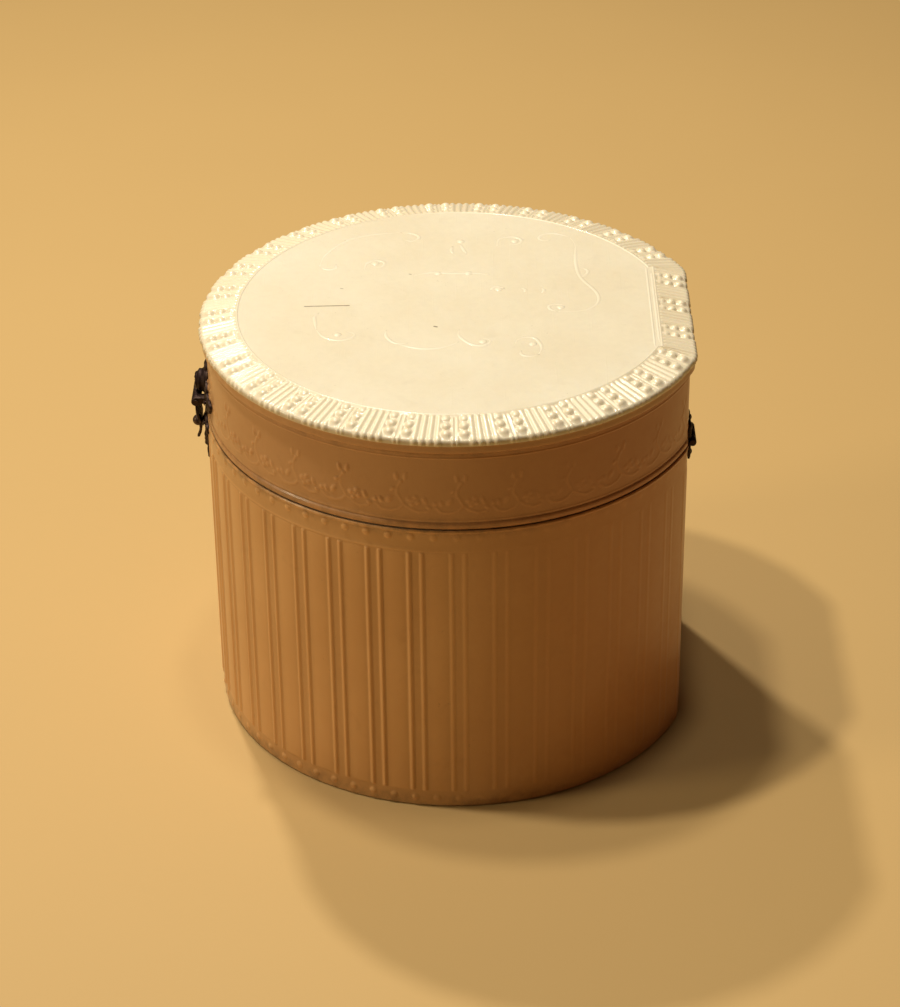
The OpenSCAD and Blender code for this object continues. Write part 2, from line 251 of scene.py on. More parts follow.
def stamped(name, outline, low, high, step, top, place, back=lambda u, v: 0 * u):
    """A stamped plate with a drawn outline.

    outline(u, v) is the distance from the edge, below 0 inside. top(u, v, depth) is the height of
    the face, back(u, v) that of the back, and place(u, v, h) puts a point in the frame.
    """
    nu, nv = (int(math.ceil((high[i] - low[i]) / step)) + 1 for i in (0, 1))
    u, v = np.meshgrid(low[0] + step * np.arange(nu), low[1] + step * np.arange(nv), indexing="ij")
    middle = outline(u[:-1, :-1] + step / 2, v[:-1, :-1] + step / 2) < 0
    keep = np.zeros((nu + 1, nv + 1), bool)
    keep[1:-1, 1:-1] = middle
    # a cell that touches its neighbours only by a corner would leave the edge open
    for _ in range(3):
        block = keep[:-1, :-1] & keep[1:, 1:] & ~keep[1:, :-1] & ~keep[:-1, 1:]
        keep[1:, :-1] |= block
        block = keep[1:, :-1] & keep[:-1, 1:] & ~keep[:-1, :-1] & ~keep[1:, 1:]
        keep[:-1, :-1] |= block
    touched = np.stack([keep[:-1, :-1], keep[1:, :-1], keep[:-1, 1:], keep[1:, 1:]])
    used, edge = touched.any(0), touched.any(0) & ~touched.all(0)
    eu, ev, d = u[edge], v[edge], 1e-3
    for _ in range(4):                # draws the edge points on to the outline
        f = outline(eu, ev)
        gu = (outline(eu + d, ev) - outline(eu - d, ev)) / (2 * d)
        gv = (outline(eu, ev + d) - outline(eu, ev - d)) / (2 * d)
        g2 = np.maximum(gu ** 2 + gv ** 2, 0.2)
        eu, ev = eu - np.clip(f * gu / g2, -step, step) * 0.9, ev - np.clip(f * gv / g2, -step, step) * 0.9
    u[edge], v[edge] = eu, ev
    number = -np.ones(u.shape, int)
    number[used] = np.arange(used.sum())
    pu, pv = u[used], v[used]
    depth = np.maximum(-outline(pu, pv), 0)
    depth[edge[used]] = 0
    rise = top(pu, pv, depth)
    base = back(pu, pv)
    points = np.vstack([place(pu, pv, rise), place(pu, pv, base)])
    total = len(pu)
    i, j = np.nonzero(keep[1:-1, 1:-1])
    quads = np.stack([number[i, j], number[i + 1, j], number[i + 1, j + 1], number[i, j + 1]], 1)
    faces = quads.tolist() + (quads[:, ::-1] + total).tolist()
    edges = {}                        # the open edges, in the order they are met
    for q in quads.tolist():
        for a, b in zip(q, q[1:] + q[:1]):
            if (b, a) in edges:
                del edges[(b, a)]
            else:
                edges[(a, b)] = True
    faces += [[b, a, a + total, b + total] for a, b in edges]
    worn = np.concatenate([rise - rise.min(), 0 * base])
    mesh = outwards(new_mesh(name, points, faces, {"relief": worn * MM}))
    mesh.set_sharp_from_angle(angle=math.radians(55))
    return mesh


# ---- rules written with nodes ----

class Term:
    """A number or a field in a node tree, so that a rule reads as it would on paper."""

    def __init__(self, tree, socket):
        self.tree, self.socket = tree, socket

    def math(self, operation, *others, clamp=False):
        node = self.tree.nodes.new("ShaderNodeMath")
        node.operation, node.use_clamp = operation, clamp
        for slot, value in zip(node.inputs, (self, *others)):
            plug(self.tree, slot, value)
        return Term(self.tree, node.outputs[0])

    def __add__(self, other):
        return self.math("ADD", other)

    def __sub__(self, other):
        return self.math("SUBTRACT", other)

    def __rsub__(self, other):
        return self.math("MULTIPLY_ADD", -1.0, other)

    def __mul__(self, other):
        return self.math("MULTIPLY", other)

    def __truediv__(self, other):
        return self.math("DIVIDE", other)

    def __pow__(self, other):
        return self.math("POWER", other)

    def __abs__(self):
        return self.math("ABSOLUTE")

    __radd__, __rmul__ = __add__, __mul__

    def most(self, other):
        return self.math("MAXIMUM", other)

    def least(self, other):
        return self.math("MINIMUM", other)

    def between(self):
        """Held between 0 and 1."""
        return self.math("ADD", 0.0, clamp=True)

    def about(self, period):
        """How far from the nearest whole number of periods."""
        half = period * 0.5
        return (self + half).math("FLOORED_MODULO", period) - half

    def rise(self, low, high, start=0.0, end=1.0):
        """A smooth change from start at low to end at high."""
        node = self.tree.nodes.new("ShaderNodeMapRange")
        node.interpolation_type = "SMOOTHSTEP"
        for slot, value in zip(node.inputs, (self, low, high, start, end)):
            plug(self.tree, slot, value)
        return Term(self.tree, node.outputs[0])

    def hill(self, power=0.8):
        """A rounded top: 1 where the term is 0, down to 0 where it is 1 and beyond."""
        return (1.0 - self * self).most(0.0) ** power


def plug(tree, slot, value):
    if isinstance(value, Term):
        tree.links.new(value.socket, slot)
    else:
        slot.default_value = value


def longer(a, b):
    """The length of the two sides a and b."""
    return (a * a + b * b).math("SQRT")


def near_line(x, z, a, b):
    """Distance from the stretch between the points a and b."""
    dx, dz = b[0] - a[0], b[1] - a[1]
    t = (((x - a[0]) * dx + (z - a[1]) * dz) / (dx * dx + dz * dz)).between()
    return longer(x - a[0] - t * dx, z - a[1] - t * dz)


def embossing(name, sizes, rule):
    """A node group that raises a sheet along its attribute "out" by a rule.

    sizes are its named inputs, in metres. rule(field, size) gives the height from the sheet's own
    attributes and those inputs.
    """
    tree = bpy.data.node_groups.new(name, "GeometryNodeTree")
    face = tree.interface
    face.new_socket("Geometry", in_out="INPUT", socket_type="NodeSocketGeometry")
    face.new_socket("Material", in_out="INPUT", socket_type="NodeSocketMaterial")
    for key, value in sizes.items():
        face.new_socket(key, in_out="INPUT", socket_type="NodeSocketFloat").default_value = value
    face.new_socket("Geometry", in_out="OUTPUT", socket_type="NodeSocketGeometry")
    nodes, links = tree.nodes, tree.links
    start, end = nodes.new("NodeGroupInput"), nodes.new("NodeGroupOutput")

    def field(key, kind="FLOAT"):
        node = nodes.new("GeometryNodeInputNamedAttribute")
        node.data_type = kind
        node.inputs["Name"].default_value = key
        return Term(tree, node.outputs["Attribute"])

    height = rule(field, lambda key: Term(tree, start.outputs[key]))
    keep = nodes.new("GeometryNodeStoreNamedAttribute")
    keep.data_type, keep.domain = "FLOAT", "POINT"
    keep.inputs["Name"].default_value = "relief"
    links.new(start.outputs["Geometry"], keep.inputs["Geometry"])
    plug(tree, keep.inputs["Value"], height)
    lift = nodes.new("ShaderNodeVectorMath")
    lift.operation = "SCALE"
    plug(tree, lift.inputs[0], field("out", "FLOAT_VECTOR"))
    plug(tree, lift.inputs["Scale"], height)
    move = nodes.new("GeometryNodeSetPosition")
    links.new(keep.outputs["Geometry"], move.inputs["Geometry"])
    links.new(lift.outputs[0], move.inputs["Offset"])
    real = nodes.new("GeometryNodeRealizeInstances")
    links.new(move.outputs["Geometry"], real.inputs["Geometry"])
    finish = nodes.new("GeometryNodeSetMaterial")
    links.new(real.outputs["Geometry"], finish.inputs["Geometry"])
    links.new(start.outputs["Material"], finish.inputs["Material"])
    links.new(finish.outputs["Geometry"], end.inputs["Geometry"])
    return tree


def made(obj, tree, material, sizes=None, sharp=60):
    """Runs a node group on an object once, and keeps the result as its plain mesh."""
    modifier = obj.modifiers.new(tree.name, "NODES")
    modifier.node_group = tree
    given = {"Material": material, **(sizes or {})}
    for item in tree.interface.items_tree:
        if item.in_out == "INPUT" and item.name in given:
            modifier[item.identifier] = given[item.name]
    graph = bpy.context.evaluated_depsgraph_get()
    mesh = bpy.data.meshes.new_from_object(
        obj.evaluated_get(graph), preserve_all_data_layers=True, depsgraph=graph)
    obj.modifiers.remove(modifier)
    obj.data = mesh
    mesh.set_sharp_from_angle(angle=math.radians(sharp))
    if not mesh.polygons:
        raise RuntimeError(f"{obj.name} came out empty")
    return obj


def settle(obj, body, nodes, material=None):
    """Sets the piece's finish, and says which body it rides on and which nodes it stands for."""
    if material is not None:
        obj.data.materials.clear()
        obj.data.materials.append(material)
    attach(obj, body)
    if nodes:
        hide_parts(*nodes)
    return obj


# ---- finishes ----

class Finish:
    """A material under way: its tree, its shader and the textures that it is mixed from."""

    def __init__(self, name):
        self.material = bpy.data.materials.new(name)
        self.material.use_nodes = True
        self.tree = self.material.node_tree
        self.shader = self.tree.nodes["Principled BSDF"]
        self.place = self.tree.nodes.new("ShaderNodeTexCoord").outputs["Object"]

    def scaled(self, scale):
        node = self.tree.nodes.new("ShaderNodeMapping")
        node.inputs["Scale"].default_value = scale
        self.tree.links.new(self.place, node.inputs["Vector"])
        return node.outputs[0]

    def noise(self, size, detail=3.0, rough=0.55, stretch=(1, 1, 1), twist=0.0):
        """Noise whose patches are about size millimetres across."""
        node = self.tree.nodes.new("ShaderNodeTexNoise")
        node.inputs["Scale"].default_value = 1.0
        node.inputs["Detail"].default_value = detail
        node.inputs["Roughness"].default_value = rough
        node.inputs["Distortion"].default_value = twist
        where = self.scaled([s / (size * MM) for s in stretch])
        self.tree.links.new(where, node.inputs["Vector"])
        return Term(self.tree, node.outputs["Fac"])

    def axis(self, letter):
        node = self.tree.nodes.new("ShaderNodeSeparateXYZ")
        self.tree.links.new(self.place, node.inputs[0])
        return Term(self.tree, node.outputs[letter])

    def attribute(self, key):
        node = self.tree.nodes.new("ShaderNodeAttribute")
        node.attribute_name = key
        return Term(self.tree, node.outputs["Fac"])

    def mix(self, share, a, b, kind="MIX"):
        node = self.tree.nodes.new("ShaderNodeMix")
        node.data_type, node.blend_type = "RGBA", kind
        plug(self.tree, node.inputs[0], share)
        for slot, value in ((node.inputs[6], a), (node.inputs[7], b)):
            if isinstance(value, Term):
                self.tree.links.new(value.socket, slot)
            else:
                slot.default_value = (*value, 1.0)
        return Term(self.tree, node.outputs[2])

    def set(self, **values):
        for key, value in values.items():
            plug(self.tree, self.shader.inputs[key.replace("_", " ")], value)

    def colour(self, term):
        self.tree.links.new(term.socket, self.shader.inputs["Base Color"])

    def bump(self, height, depth, strength=1.0):
        """Raises the surface by height times depth millimetres in its shading."""
        node = self.tree.nodes.new("ShaderNodeBump")
        node.inputs["Distance"].default_value = depth * MM
        node.inputs["Strength"].default_value = strength
        plug(self.tree, node.inputs["Height"], height)
        self.tree.links.new(node.outputs[0], self.shader.inputs["Normal"])


# what has settled on the celluloid
DIRT = (0.21, 0.12, 0.055)
GRIME = (0.20, 0.115, 0.05)
SCRATCH = (0.12, 0.07, 0.035)


def darker(colour, share):
    return tuple(c * share for c in colour)


def celluloid(name, colour, toned, recess, edges=None, side=None, scratches=(), marked=0.0, shaded_side_share=0.0):
    """Old ivory celluloid: warm patches, painted shade in recesses mixed with toning, a painted highlight
    on raised tops, handling marks and a soft polish.

    edges are the heights of a wall's grimy edges, and side the height and colour of the rim's painted
    shade.
    marked deepens the painted shade between a border's marks and tones the border a little darker, and the
    last argument darkens and reddens the side by the hinges as painted shade.
    """
    f = Finish(name)
    patches = f.noise(38.0, 3.0, 0.5).rise(0.32, 0.72)
    fine = f.noise(2.6, 4.0, 0.6)
    base = f.mix(patches * 0.55, colour, toned)
    relief = f.attribute("relief")
    # painted shade: the recesses are darkened, mixed with some real toning; marked deepens it on a border
    hollow = relief.rise(0.12 * MM, -0.06 * MM) * (f.attribute("hold") * marked + recess)
    base = f.mix(hollow * (fine * 0.6 + 0.45), base, darker(toned, 0.62))
    # painted highlight: the raised tops of the relief are lightened
    base = f.mix(relief.rise(0.18 * MM, 0.6 * MM) * 0.35, base, tuple(min(1.0, c * 1.12) for c in colour))
    dirt = f.noise(1.1, 2.0, 0.7).rise(0.66, 0.78) * f.noise(17.0).rise(0.45, 0.7)
    base = f.mix(dirt * 0.4, base, DIRT)
    stains = f.noise(9.0, 4.0, 0.65, twist=0.6).rise(0.56, 0.80)
    base = f.mix(stains * 0.22, base, darker(toned, 0.7))
    if edges is not None:
        height = f.axis("Z")
        edge = height.rise((edges[0] + 5.5) * MM, (edges[0] + 0.2) * MM)
        edge = edge.most(height.rise((edges[1] - 3.5) * MM, (edges[1] - 0.1) * MM))
        base = f.mix(edge * f.noise(5.0, 4.0, 0.7).rise(0.35, 0.75) * 0.7, base, GRIME)
    if side is not None:              # painted shade: below this height the rolled rim takes the band's shaded colour
        below = f.axis("Z").rise((side[0] + 0.25) * MM, (side[0] - 0.15) * MM)
        base = f.mix(below, base, f.mix(fine, side[1], darker(side[1], 0.8)))
    for a, b, half, share in scratches:
        gap = near_line(f.axis("X"), f.axis("Y"), [c * MM for c in a], [c * MM for c in b])
        mark = (gap + (fine - 0.5) * 0.25 * MM).rise(half * MM, half * 0.35 * MM)
        base = f.mix(mark * share, base, SCRATCH)
    if shaded_side_share:                         # painted shade: the side towards the hinges is darkened and reddened
        share = f.axis("Y").rise(-12.0 * MM, 62.0 * MM) * (fine * 0.25 + shaded_side_share)
        base = f.mix(share, base, (toned[0] * 0.98, toned[1] * 0.72, toned[2] * 0.6))
    if marked:
        base = f.mix(f.attribute("hold") * 0.65, base, darker(toned, 0.9))
    f.colour(base)
    f.set(Roughness=f.noise(11.0, 4.0, 0.6) * 0.2 + 0.22 + hollow * 0.18 + fine * 0.06)
    f.set(IOR=1.5, Subsurface_Weight=0.12, Subsurface_Scale=0.002, Coat_Weight=0.3, Coat_Roughness=0.12)
    f.shader.inputs["Subsurface Radius"].default_value = (1.0, 0.65, 0.35)
    hair = f.noise(1.2, 2.0, 0.5, stretch=(0.05, 1.3, 1.0)).rise(0.60, 0.75)
    f.bump(f.noise(14.0, 2.0) * 0.9 + fine * 0.13 + hair * 0.05, 0.35, 0.6)
    return f.material


def bronze(name, base, worn, brightness=1.0):
    """Dark bronze with the high places rubbed bright."""
    f = Finish(name)
    relief = f.attribute("relief")
    rub = relief.rise(0.45 * MM, 1.0 * MM) * f.noise(1.5, 4.0, 0.65).rise(0.38, 0.68)
    tarnish = f.noise(3.4, 4.0, 0.6)
    colour = f.mix(tarnish.rise(0.35, 0.7) * 0.5, base, darker(worn, 0.35))
    colour = f.mix(rub * 0.75 * brightness, colour, worn)
    f.colour(colour)
    f.set(Metallic=0.85, Roughness=0.62 - rub * 0.27 - tarnish * 0.12)
    f.bump(f.noise(0.5, 4.0, 0.7), 0.06, 0.7)
    return f.material


def pasteboard(name, colour):
    """Grey-brown board with flecks and a layered cut edge."""
    f = Finish(name)
    layers = f.noise(0.5, 3.0, 0.6, stretch=(0.08, 0.08, 1.6))
    flecks = f.noise(0.7, 3.0, 0.7).rise(0.58, 0.7)
    base = f.mix(f.noise(16.0, 4.0).rise(0.3, 0.7) * 0.4, colour, darker(colour, 0.72))
    base = f.mix(flecks * 0.5, base, darker(colour, 0.45))
    f.colour(base)
    f.set(Roughness=0.86 + flecks * 0.08)
    f.bump(layers * 0.5 + f.noise(0.35, 3.0, 0.7) * 0.6, 0.12, 0.8)
    return f.material


def kraft_paper(name, colour):
    """Brown lining paper with fibres and darker patches."""
    f = Finish(name)
    fibre = f.noise(0.9, 4.0, 0.65, stretch=(0.25, 1.2, 1.0))
    base = f.mix(fibre.rise(0.35, 0.7) * 0.5, colour, darker(colour, 0.66))
    base = f.mix(f.noise(24.0, 4.0, 0.6).rise(0.52, 0.75) * 0.45, base, darker(colour, 0.5))
    f.colour(base)
    f.set(Roughness=0.9 - fibre * 0.08)
    f.bump(fibre + f.noise(6.0) * 0.8, 0.08, 0.7)
    return f.material


def satin(name, colour, shade):
    """Faded satin: a fine diagonal weave, soft sheen and faded patches."""
    f = Finish(name)
    across = (f.axis("X") + f.axis("Y") * 0.96 + f.axis("Z") * 1.04) * (2 * math.pi / (0.55 * MM))
    warp = across.math("SINE") * 0.5 + 0.5
    over = (f.axis("X") - f.axis("Y") * 1.03 + f.axis("Z") * 0.97) * (2 * math.pi / (0.40 * MM))
    weft = over.math("SINE") * 0.5 + 0.5
    weave = warp * 0.7 + weft * 0.3
    base = f.mix(f.noise(20.0, 4.0, 0.55).rise(0.3, 0.72) * 0.7, colour, shade)
    base = f.mix((1.0 - weave) * 0.18, base, darker(shade, 0.7))
    base = f.mix(f.noise(7.0, 3.0, 0.6).rise(0.6, 0.8) * 0.35, base, darker(shade, 0.65))
    f.colour(base)
    f.set(Roughness=0.52 - weave * 0.12, Sheen_Weight=0.35, Sheen_Roughness=0.35)
    f.bump(weave * 0.4 + f.noise(2.8, 3.0) * 0.9, 0.09, 0.7)
    return f.material


def floor_finish(name, colour):
    """A plain pale table top with a faint cloudiness."""
    f = Finish(name)
    cloud = f.noise(160.0, 4.0, 0.55)
    f.colour(f.mix(cloud.rise(0.3, 0.7) * 0.12, colour, darker(colour, 0.88)))
    f.set(Roughness=0.72 - cloud * 0.06)
    f.bump(f.noise(1.1, 3.0, 0.6), 0.04, 0.4)
    return f.material


# where the lid's level centre is scratched: start, end, half width, depth of tone
LID_SCRATCHES = [
    ((-0.9, -43.8), (-1.3, -30.8), 0.32, 0.85), ((-12.3, -33.6), (-12.1, -33.0), 0.3, 0.6),
    ((-21.4, -13.4), (-21.1, -12.9), 0.3, 0.6), ((12.1, -5.6), (12.4, -4.9), 0.45, 0.8),
]
# painted shade: how much the side by the hinges is darkened and reddened
SHADED_SIDE_SHARE = 0.55
FINISHES = {}


def finish_of(key):
    """The finish of that name, made on first use."""
    look = bpy.context.scene.bobbin_box_looks
    makers = {
        "lid_ivory": lambda: celluloid(
            "lid_ivory", look.lid_colour, look.lid_toned, 0.5, side=(RIM_SIDE_Z, look.band_colour),
            scratches=LID_SCRATCHES, marked=0.45),
        # painted shade: the band and body finishes use darker, oranger copies of the lid's ivory for the
        # shade on the sides
        "band_ivory_shaded": lambda: celluloid(
            "band_ivory_shaded", look.band_colour, look.band_toned, 0.32, (BAND_LOW, BAND_TOP), shaded_side_share=SHADED_SIDE_SHARE),
        "body_ivory_shaded": lambda: celluloid(
            "body_ivory_shaded", look.body_colour, look.body_toned, 0.4, (BODY_LOW, BODY_TOP), shaded_side_share=SHADED_SIDE_SHARE),
        "dark_bronze": lambda: bronze("dark_bronze", look.bronze_colour, look.bronze_worn),
        "pin_bronze": lambda: bronze("pin_bronze", darker(look.bronze_colour, 1.5), look.bronze_worn, 0.4),
        "board": lambda: pasteboard("board", look.board_colour),
        "paper": lambda: kraft_paper("paper", look.paper_colour),
        "satin": lambda: satin("satin", look.satin_colour, look.satin_shade),
        "floor": lambda: floor_finish("floor", look.floor_colour),
    }
    if key not in FINISHES:
        FINISHES[key] = makers[key]()
    return FINISHES[key]


# ---- the lid's top ----

PAIR_TURN = 12.58                     # degrees from one pair of bead columns to the next
PAIR_START = 0.49                     # degrees of the pair nearest to the right of the box
RIB_TURN = 1.68                       # degrees from rib to rib
FLAT_PAIR_X = -2.0                    # middle pair on the flat side
FLAT_PAIR_PITCH = 16.4
FLAT_RIB_PITCH = 1.84
FLAT_BEAD_SCALE = 1.15                # beads on the flat side are smaller by this
RELIEF_ROOM = 0.5                     # how far in the plain surface lies, so that relief fits the box
BORDER_SLOPE = 0.19                   # rise of the border for each millimetre inwards
EDGE_R, ROLL_R = 0.95, 0.7            # the border's rounded edge, and the rim's roll under
PANEL_R = 63.0                        # the level centre inside the border


def border_marks(path, inset):
    """Where each point of the border lies among its pairs of beads and its ribs."""
    p, s, total = path["p"], path["s"], path["total"]
    half = np.minimum(s, total - s)
    on_round = half <= path["corner_from"]
    on_flat = half >= path["corner_to"]
    turn = np.degrees(np.arctan2(p[:, 1], p[:, 0]))
    turn = np.where(turn > 90, turn - 360, turn)
    phase = (turn - PAIR_START) / PAIR_TURN
    off = phase - np.round(phase)
    pair = off[None, :] * math.radians(PAIR_TURN) * (RIM_R - inset)
    rib = ((phase % 1) - 0.5) * PAIR_TURN / RIB_TURN
    flat_off = (FLAT_PAIR_X - p[:, 0]) / FLAT_PAIR_PITCH
    flat_near = flat_off - np.round(flat_off)
    flat_pair = (flat_near * FLAT_PAIR_PITCH * FLAT_BEAD_SCALE)[None, :] + 0 * inset
    flat_rib = ((flat_off % 1) - 0.5) * FLAT_PAIR_PITCH / FLAT_RIB_PITCH
    ribbed = np.where(on_round, np.abs(rib) < 2, np.where(on_flat, np.abs(flat_rib) < 2.5, True))
    rib = np.where(on_flat, flat_rib, rib)
    corner = ~on_round & ~on_flat
    for right in (True, False):
        here = np.nonzero(corner & ((s < total / 2) == right))[0]
        before, after = rib[here[0] - 1], rib[(here[-1] + 1) % len(s)]
        steps = len(here) + 1
        span = steps * total / len(s) / 2.0
        advance = (after - before) % 1
        advance += round(span - advance)
        rib[here] = before + advance * np.arange(1, steps) / steps
    pair = np.where(on_flat[None, :], flat_pair, pair)
    pair = np.where(corner[None, :], 8.0, pair)
    return pair, rib, ribbed.astype(float)


def make_lid_top(sizes):
    """The embossed top with its border of beads and ribs and its rolled rim, one thin sheet."""
    path = plan_path(RIM_R, RIM_FLAT, CORNER_R, 1300)
    narrow = 1 - (1 - BORDER_FLAT_W / BORDER_W) * smooth(path["way"], 0, 1)
    tilt = math.atan(BORDER_SLOPE)
    profile = []                      # inset, height, way out (inset, height), relief hold
    for d in (11.9, 11.72):
        profile.append((d, PANEL_Z, 0, 1, 0))
    for d, up in ((11.62, 0.05), (11.52, 0.13), (11.42, 0.15), (11.32, 0.10), (11.2, 0.02)):
        profile.append((d, PANEL_Z + up, 0, 1, 0))
    start = RELIEF_ROOM + 1.25
    for d in np.linspace(11.05, start + 0.3, 28):
        base = EDGE_Z + BORDER_SLOPE * (d - RELIEF_ROOM)
        base += (PANEL_Z - base) * float(smooth(d, 10.35, 11.15))
        profile.append((d, base, -math.sin(tilt), math.cos(tilt), 1))
    middle = (RELIEF_ROOM + EDGE_R, EDGE_Z + BORDER_SLOPE * EDGE_R - EDGE_R / math.cos(tilt))
    for a in np.linspace(math.pi / 2 + tilt, math.pi, 7):
        c, s = math.cos(a), math.sin(a)
        profile.append((middle[0] + EDGE_R * c, middle[1] + EDGE_R * s, c, s, 1))
    side = middle[1] - np.array([0.25, 0.5, 0.75, 0.95, 1.15, 1.6, 2.2])
    for z, hold, extra in zip(side, (1.0, 0.9, 0.6, 0.2, 0, 0, 0), (0, 0, 0.06, 0.14, 0.2, 0.24, 0.22)):
        profile.append((RELIEF_ROOM + extra, z, -1, 0, hold))
    for a in np.linspace(0.1, 1.0, 5) * math.pi / 2:
        profile.append((RELIEF_ROOM + 0.2 + ROLL_R * (1 - math.cos(a)), RIM_Z + ROLL_R * (1 - math.sin(a)),
                        -math.cos(a), -math.sin(a), 0))
    under_in = RIM_R - LID_R - 0.1
    profile.append((under_in, RIM_Z, 0, -1, 0))
    sheet_in = RELIEF_ROOM + 0.5
    inner = [(under_in, RIM_Z + 0.3), (sheet_in + 0.2, RIM_Z + 0.6), (sheet_in, middle[1] - 0.3),
             (sheet_in + 0.7, EDGE_Z - 0.3), (BORDER_W - 0.9, PANEL_Z - 0.9), (11.9, PANEL_Z - 0.3)]
    profile += [(d, z, 0, -1, 0) for d, z in inner]
    table = np.array(profile)
    inset = table[:, 0][:, None] * narrow[None, :]
    flat_xy = path["p"][None] - path["n"][None] * inset[..., None]
    rings = np.concatenate([flat_xy, np.repeat(table[:, 1][:, None, None], len(narrow), 1)], 2)
    out = np.concatenate([-path["n"][None] * table[:, 2][:, None, None],
                          np.repeat(table[:, 3][:, None, None], len(narrow), 1)], 2)
    pair, rib, ribbed = border_marks(path, table[:, 0][:, None] + 0 * inset)
    marks = {
        "inset": np.repeat(table[:, 0][:, None], len(narrow), 1),
        "pair_x": pair,
        "rib_x": np.repeat(rib[None], len(table), 0),
        "ribbed": np.repeat(ribbed[None], len(table), 0),
        "hold": np.repeat(table[:, 4][:, None], len(narrow), 1),
    }
    shares = np.array([0.03, 0.12, 0.25, 0.4, 0.55, 0.7, 0.82, 0.91, 0.97])
    middle_xy = np.array([0.0, -2.0, 0.0])
    panel = middle_xy + (rings[0] - middle_xy) * shares[:, None, None]
    panel[..., 2] = PANEL_Z
    under_shares = np.array([0.75, 0.4, 0.04])
    under = middle_xy + (rings[-1] - middle_xy) * under_shares[:, None, None]
    under[..., 2] = PANEL_Z - 0.3
    rings = np.concatenate([panel, rings, under])
    out = np.concatenate([np.zeros_like(panel), out, np.zeros_like(under)])
    for key, value in marks.items():
        value = value * (MM if key in ("inset", "pair_x") else 1)
        blank = np.zeros((len(panel), len(narrow)))
        tail = np.zeros((len(under), len(narrow)))
        marks[key] = np.concatenate([blank, value, tail])
    marks["out"] = out
    obj = add_object("lid_top", ring_mesh("lid_top", rings, marks, poles=True))

    def rule(field, size):
        inset, pair, hold = field("inset"), abs(field("pair_x")), field("hold")
        side = pair - size("Column offset")
        beads = None
        for row in ("first", "second", "third"):
            away = longer(side, inset - size(f"Inset of the {row} row"))
            height = (away / size(f"Radius of the {row} row")).hill(0.75) * size(f"Height of the {row} row")
            beads = height if beads is None else beads.most(height)
        cell = (field("rib_x").math("FLOORED_MODULO", 1.0) - 0.5) * 2.0
        ribs = (cell / size("Rib share")).hill(0.7) * size("Rib height") * field("ribbed")
        ribs = ribs * inset.rise(11.1 * MM, 10.4 * MM)
        thin = (abs(pair - size("Thin rib offset")) / size("Thin rib half width")).hill(0.8)
        thin = thin * size("Thin rib height") * inset.rise(10.6 * MM, 9.8 * MM)
        return ribs.most(thin).most(beads) * hold

    tree = embossing("Embossed border", {
        "Column offset": 2.55 * MM,
        "Inset of the first row": 3.2 * MM, "Radius of the first row": 1.7 * MM,
        "Height of the first row": 1.15 * MM,
        "Inset of the second row": 6.6 * MM, "Radius of the second row": 1.52 * MM,
        "Height of the second row": 0.95 * MM,
        "Inset of the third row": 9.7 * MM, "Radius of the third row": 1.32 * MM,
        "Height of the third row": 0.62 * MM,
        "Rib share": 0.82, "Rib height": 0.5 * MM,
        "Thin rib offset": 0.62 * MM, "Thin rib half width": 0.42 * MM,
        "Thin rib height": 0.36 * MM}, rule)
    made(obj, tree, finish_of("lid_ivory"), {
        "Height of the first row": sizes.bead_height, "Rib height": sizes.rib_height}, 75)
    return settle(obj, "lid", ["lid_top_cover"])


def ribbon(points, half, height, z, taper=0.3):
    """A low raised stroke on the level panel, fading out at both ends."""
    points = np.asarray(points, float)
    for _ in range(3):                # rounds the corners of the drawn line
        cut = np.empty((2 * len(points), 2))
        cut[0], cut[-1] = points[0], points[-1]
        cut[1:-1:2] = 0.75 * points[:-1] + 0.25 * points[1:]
        cut[2:-1:2] = 0.25 * points[:-1] + 0.75 * points[1:]
        points = cut
    run = np.concatenate([[0], np.cumsum(np.hypot(*np.diff(points, axis=0).T))])
    count = max(6, int(run[-1] / 0.9))
    t = np.linspace(0, run[-1], count)
    mid = np.stack([np.interp(t, run, points[:, i]) for i in (0, 1)], 1)
    way = np.gradient(mid, axis=0)
    way /= np.maximum(np.hypot(way[:, 0], way[:, 1]), 1e-9)[:, None]
    side = np.stack([-way[:, 1], way[:, 0]], 1)
    end = np.minimum(t, run[-1] - t) / max(run[-1] * taper, 1e-6)
    swell = 0.25 + 0.75 * smooth(end, 0, 1)
    across = np.array([-1.6, -1.0, -0.55, 0.0, 0.55, 1.0, 1.6])
    bell = np.array([0.0, 0.22, 0.78, 1.0, 0.78, 0.22, 0.0])
    sink = 0.05
    top = np.zeros((count, 7, 3))
    top[..., :2] = mid[:, None] + side[:, None] * (across[None, :, None] * half * swell[:, None, None])
    top[..., 2] = z - 0.012 + bell[None] * height * swell[:, None]
    base = top[:, ::-1].copy()[:, [0, 3, 6]]
    base[..., 2] = z - sink
    loop = np.concatenate([top, base], 1)
    return ring_mesh("stroke", loop.reshape(count, 10, 3), poles=True)


